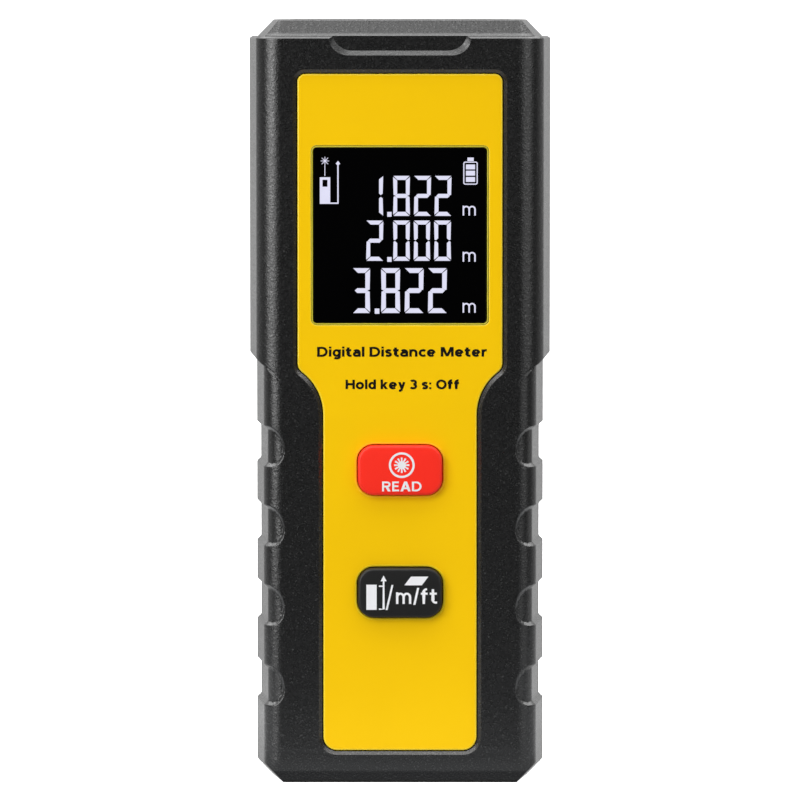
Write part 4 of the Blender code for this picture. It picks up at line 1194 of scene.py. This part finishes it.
def coil(name, node, x, z0, z1, r0, r1):
    turns, per_turn, sides, wire = 4, 36, 10, 0.3
    rings = []
    for k in range(turns * per_turn + 1):
        t = k / (turns * per_turn)
        a = 2 * math.pi * turns * t
        r = r0 + (r1 - r0) * t
        lift = ease((t - 0.1) / 0.8)
        z = z0 + wire + (z1 - z0 - 2 * wire) * (0.08 * t + 0.92 * lift)
        centre = Vector((x + r * math.cos(a), CELL_Y + r * math.sin(a), z))
        out = Vector((math.cos(a), math.sin(a), 0))
        rings.append([centre + out * wire * math.cos(b) + Vector((0, 0, 1)) * wire * math.sin(b) for b in (2 * math.pi * j / sides for j in range(sides))])
    piece(loft(rings), name, tin, "housing", [node], angle=50)


coil("coil_lower", "spring_lower", -CELL_X, 7.6, 11.3, 3.4, 2.4)
coil("coil_upper", "spring_upper", CELL_X, 52.45, 56.2, 2.4, 3.4)
for node, x, y0, y1, hw, z, seats in (
    ("contact_positive", -5.5, 1.0, 8.6, 4.1, 56.5, (-CELL_X,)),
    ("contact_negative", 5.5, 1.0, 8.6, 4.1, 56.5, (CELL_X,)),
    ("contact_bridge", 0.0, 1.0, 8.4, 9.8, 6.9, (-CELL_X, CELL_X)),
):
    plate = prism(rounded(hw, (y1 - y0) / 2, 0.7, 8, x, (y0 + y1) / 2), "z", z, z + 0.4)
    low = z if z > 30 else z + 0.28
    plate = minus(plate, *[lathe([(1.7, low - 0.2 if z > 30 else low), (2.5, low - 0.2 if z > 30 else low), (2.5, low + (0.12 if z > 30 else 0.4)), (1.7, low + (0.12 if z > 30 else 0.4))], "z", (seat, CELL_Y), 48, closed=True) for seat in seats])
    piece(plate, node + "_plate", tin, "housing", [node], angle=30)

# ================================================================ CAD nodes that keep their shape
FINISH = {
    "case_seal": rubber,
    "measure_switch_body": chip_mat,
    "measure_switch_plunger": white_mat,
    "units_switch_body": chip_mat,
    "units_switch_plunger": white_mat,
    "display_gasket": foam,
    "lcd_glass": lcd_mat,
    "lcd_backlight": white_mat,
    "lcd_contact_strip": rubber,
    "main_board": board_mat,
    "processor_chip": chip_mat,
    "shield_can": tin,
    "buzzer": chip_mat,
    "optical_block": alloy,
    "receiver_lens": glass,
    "bandpass_filter": filter_mat,
    "photodiode": tin,
    "laser_barrel": brass,
    "laser_diode": brass,
    "collimator_lens": glass,
}
for node, mat in FINISH.items():
    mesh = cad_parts[node].data
    mesh.materials.clear()
    mesh.materials.append(mat)

# ================================================================ stage
floor_mat, nodes, links, shader = principled("floor", (0.9, 0.9, 0.9), 0.7)
broad = noise(nodes, links, 6.0, 2.0, 0.5)
links.new(ramp(nodes, links, broad.outputs["Fac"], ((0.3, (0.89, 0.89, 0.89)), (0.7, (0.91, 0.91, 0.91)))), shader.inputs["Base Color"])
shader.inputs["Emission Color"].default_value = (1, 1, 1, 1)
shader.inputs["Emission Strength"].default_value = 1.1
bm = bmesh.new()
bmesh.ops.create_grid(bm, x_segments=2, y_segments=2, size=200.0)
mesh = bpy.data.meshes.new("floor")
bm.to_mesh(mesh)
bm.free()
floor = bpy.data.objects.new("floor", mesh)
mesh.materials.append(floor_mat)
bpy.context.scene.collection.objects.link(floor)
floor.visible_diffuse = False
floor.visible_glossy = False

scene = bpy.context.scene
scene.view_settings.view_transform = "Standard"
scene.view_settings.look = "None"

world = bpy.data.worlds.new("studio")
scene.world = world
world.use_nodes = True
wn, wl = world.node_tree.nodes, world.node_tree.links
wn.clear()
out = wn.new("ShaderNodeOutputWorld")
studio = wn.new("ShaderNodeBackground")
seen = wn.new("ShaderNodeBackground")
seen.inputs["Color"].default_value = (1, 1, 1, 1)
seen.inputs["Strength"].default_value = 1.0
switch = wn.new("ShaderNodeMixShader")
path = wn.new("ShaderNodeLightPath")
tex = wn.new("ShaderNodeTexCoord")
split = wn.new("ShaderNodeSeparateXYZ")
grade = wn.new("ShaderNodeMapRange")
grade.interpolation_type = "SMOOTHSTEP"
grade.inputs["From Min"].default_value = -0.5
grade.inputs["From Max"].default_value = 0.85
grade.inputs["To Min"].default_value = 0.01
grade.inputs["To Max"].default_value = 1.08
wl.new(tex.outputs["Generated"], split.inputs[0])
wl.new(split.outputs["Y"], grade.inputs["Value"])
wl.new(grade.outputs["Result"], studio.inputs["Strength"])
wl.new(path.outputs["Is Camera Ray"], switch.inputs["Fac"])
wl.new(studio.outputs[0], switch.inputs[1])
wl.new(seen.outputs[0], switch.inputs[2])
wl.new(switch.outputs[0], out.inputs["Surface"])


def area(name, place, target, size, power, colour=(1, 1, 1)):
    light = bpy.data.lights.new(name, "AREA")
    light.shape = "RECTANGLE"
    light.size, light.size_y = size
    light.energy = power
    light.color = colour
    obj = bpy.data.objects.new(name, light)
    obj.location = place
    obj.rotation_euler = (Vector(target) - Vector(place)).to_track_quat("-Z", "Y").to_euler()
    scene.collection.objects.link(obj)
    return obj


MIDDLE = (0, 0, 0.055)


def softbox(name, azimuth, height, distance, size, radiance):
    """A softbox seen from the meter at the given azimuth off the front (to the right) and height."""
    a = math.radians(azimuth)
    place = (distance * math.sin(a), -distance * math.cos(a), height)
    return area(name, place, MIDDLE, size, radiance * math.pi * size[0] * size[1])


softbox("side_left", -45, 0.25, 0.6, (0.36, 0.5), 4.9)
softbox("side_right", 39, 0.25, 0.6, (0.42, 0.5), 1.4)
softbox("key", -10, 0.85, 0.75, (0.5, 0.36), 3.7)
area("top", (0, 0.15, 0.75), (0, 0.15, 0), (1.7, 1.0), 3.4 * math.pi * 1.7)

# light thrown back by the table: weak at the meter's foot, strongest a few centimetres off, then fading
for name, x0, x1, y0, y1, radiance in (
    ("foot", -0.15, 0.15, -0.0113, -0.0099, 0.1),
    ("near", -0.15, 0.15, -0.05, -0.0113, 0.6),
    ("far", -0.15, 0.15, -0.25, -0.05, 0.13),
    ("near_left", -0.14, -0.04, -0.03, 0.08, 0.6),
    ("near_right", 0.04, 0.14, -0.03, 0.08, 0.45),
    ("front_left", -0.12, -0.03, -0.1, -0.05, 1.1),
    ("front_right", 0.03, 0.12, -0.1, -0.05, 0.5),
):
    place = ((x0 + x1) / 2, (y0 + y1) / 2, 0.0004)
    tint = (0.84, 0.88, 1.0) if name == "foot" else (0.95, 0.97, 1.0)
    bounce = area("bounce_" + name, place, (place[0], place[1], 1.0), (x1 - x0, y1 - y0), radiance * math.pi * (x1 - x0) * (y1 - y0), tint)
    bounce.visible_camera = False

cam_data = bpy.data.cameras.new("view")
cam = bpy.data.objects.new("view", cam_data)
scene.collection.objects.link(cam)
scene.camera = cam
DIST, EYE, AIM = 0.90, 0.110, 0.05283
cam.location = (0.0, -0.0096 - DIST, EYE)
cam.rotation_euler = (Vector((0, -0.0096, AIM)) - cam.location).to_track_quat("-Z", "Y").to_euler()
cam_data.sensor_width = 36.0
cam_data.lens = 36.0 * 0.9 / 0.1097
cam_data.clip_start = 0.01
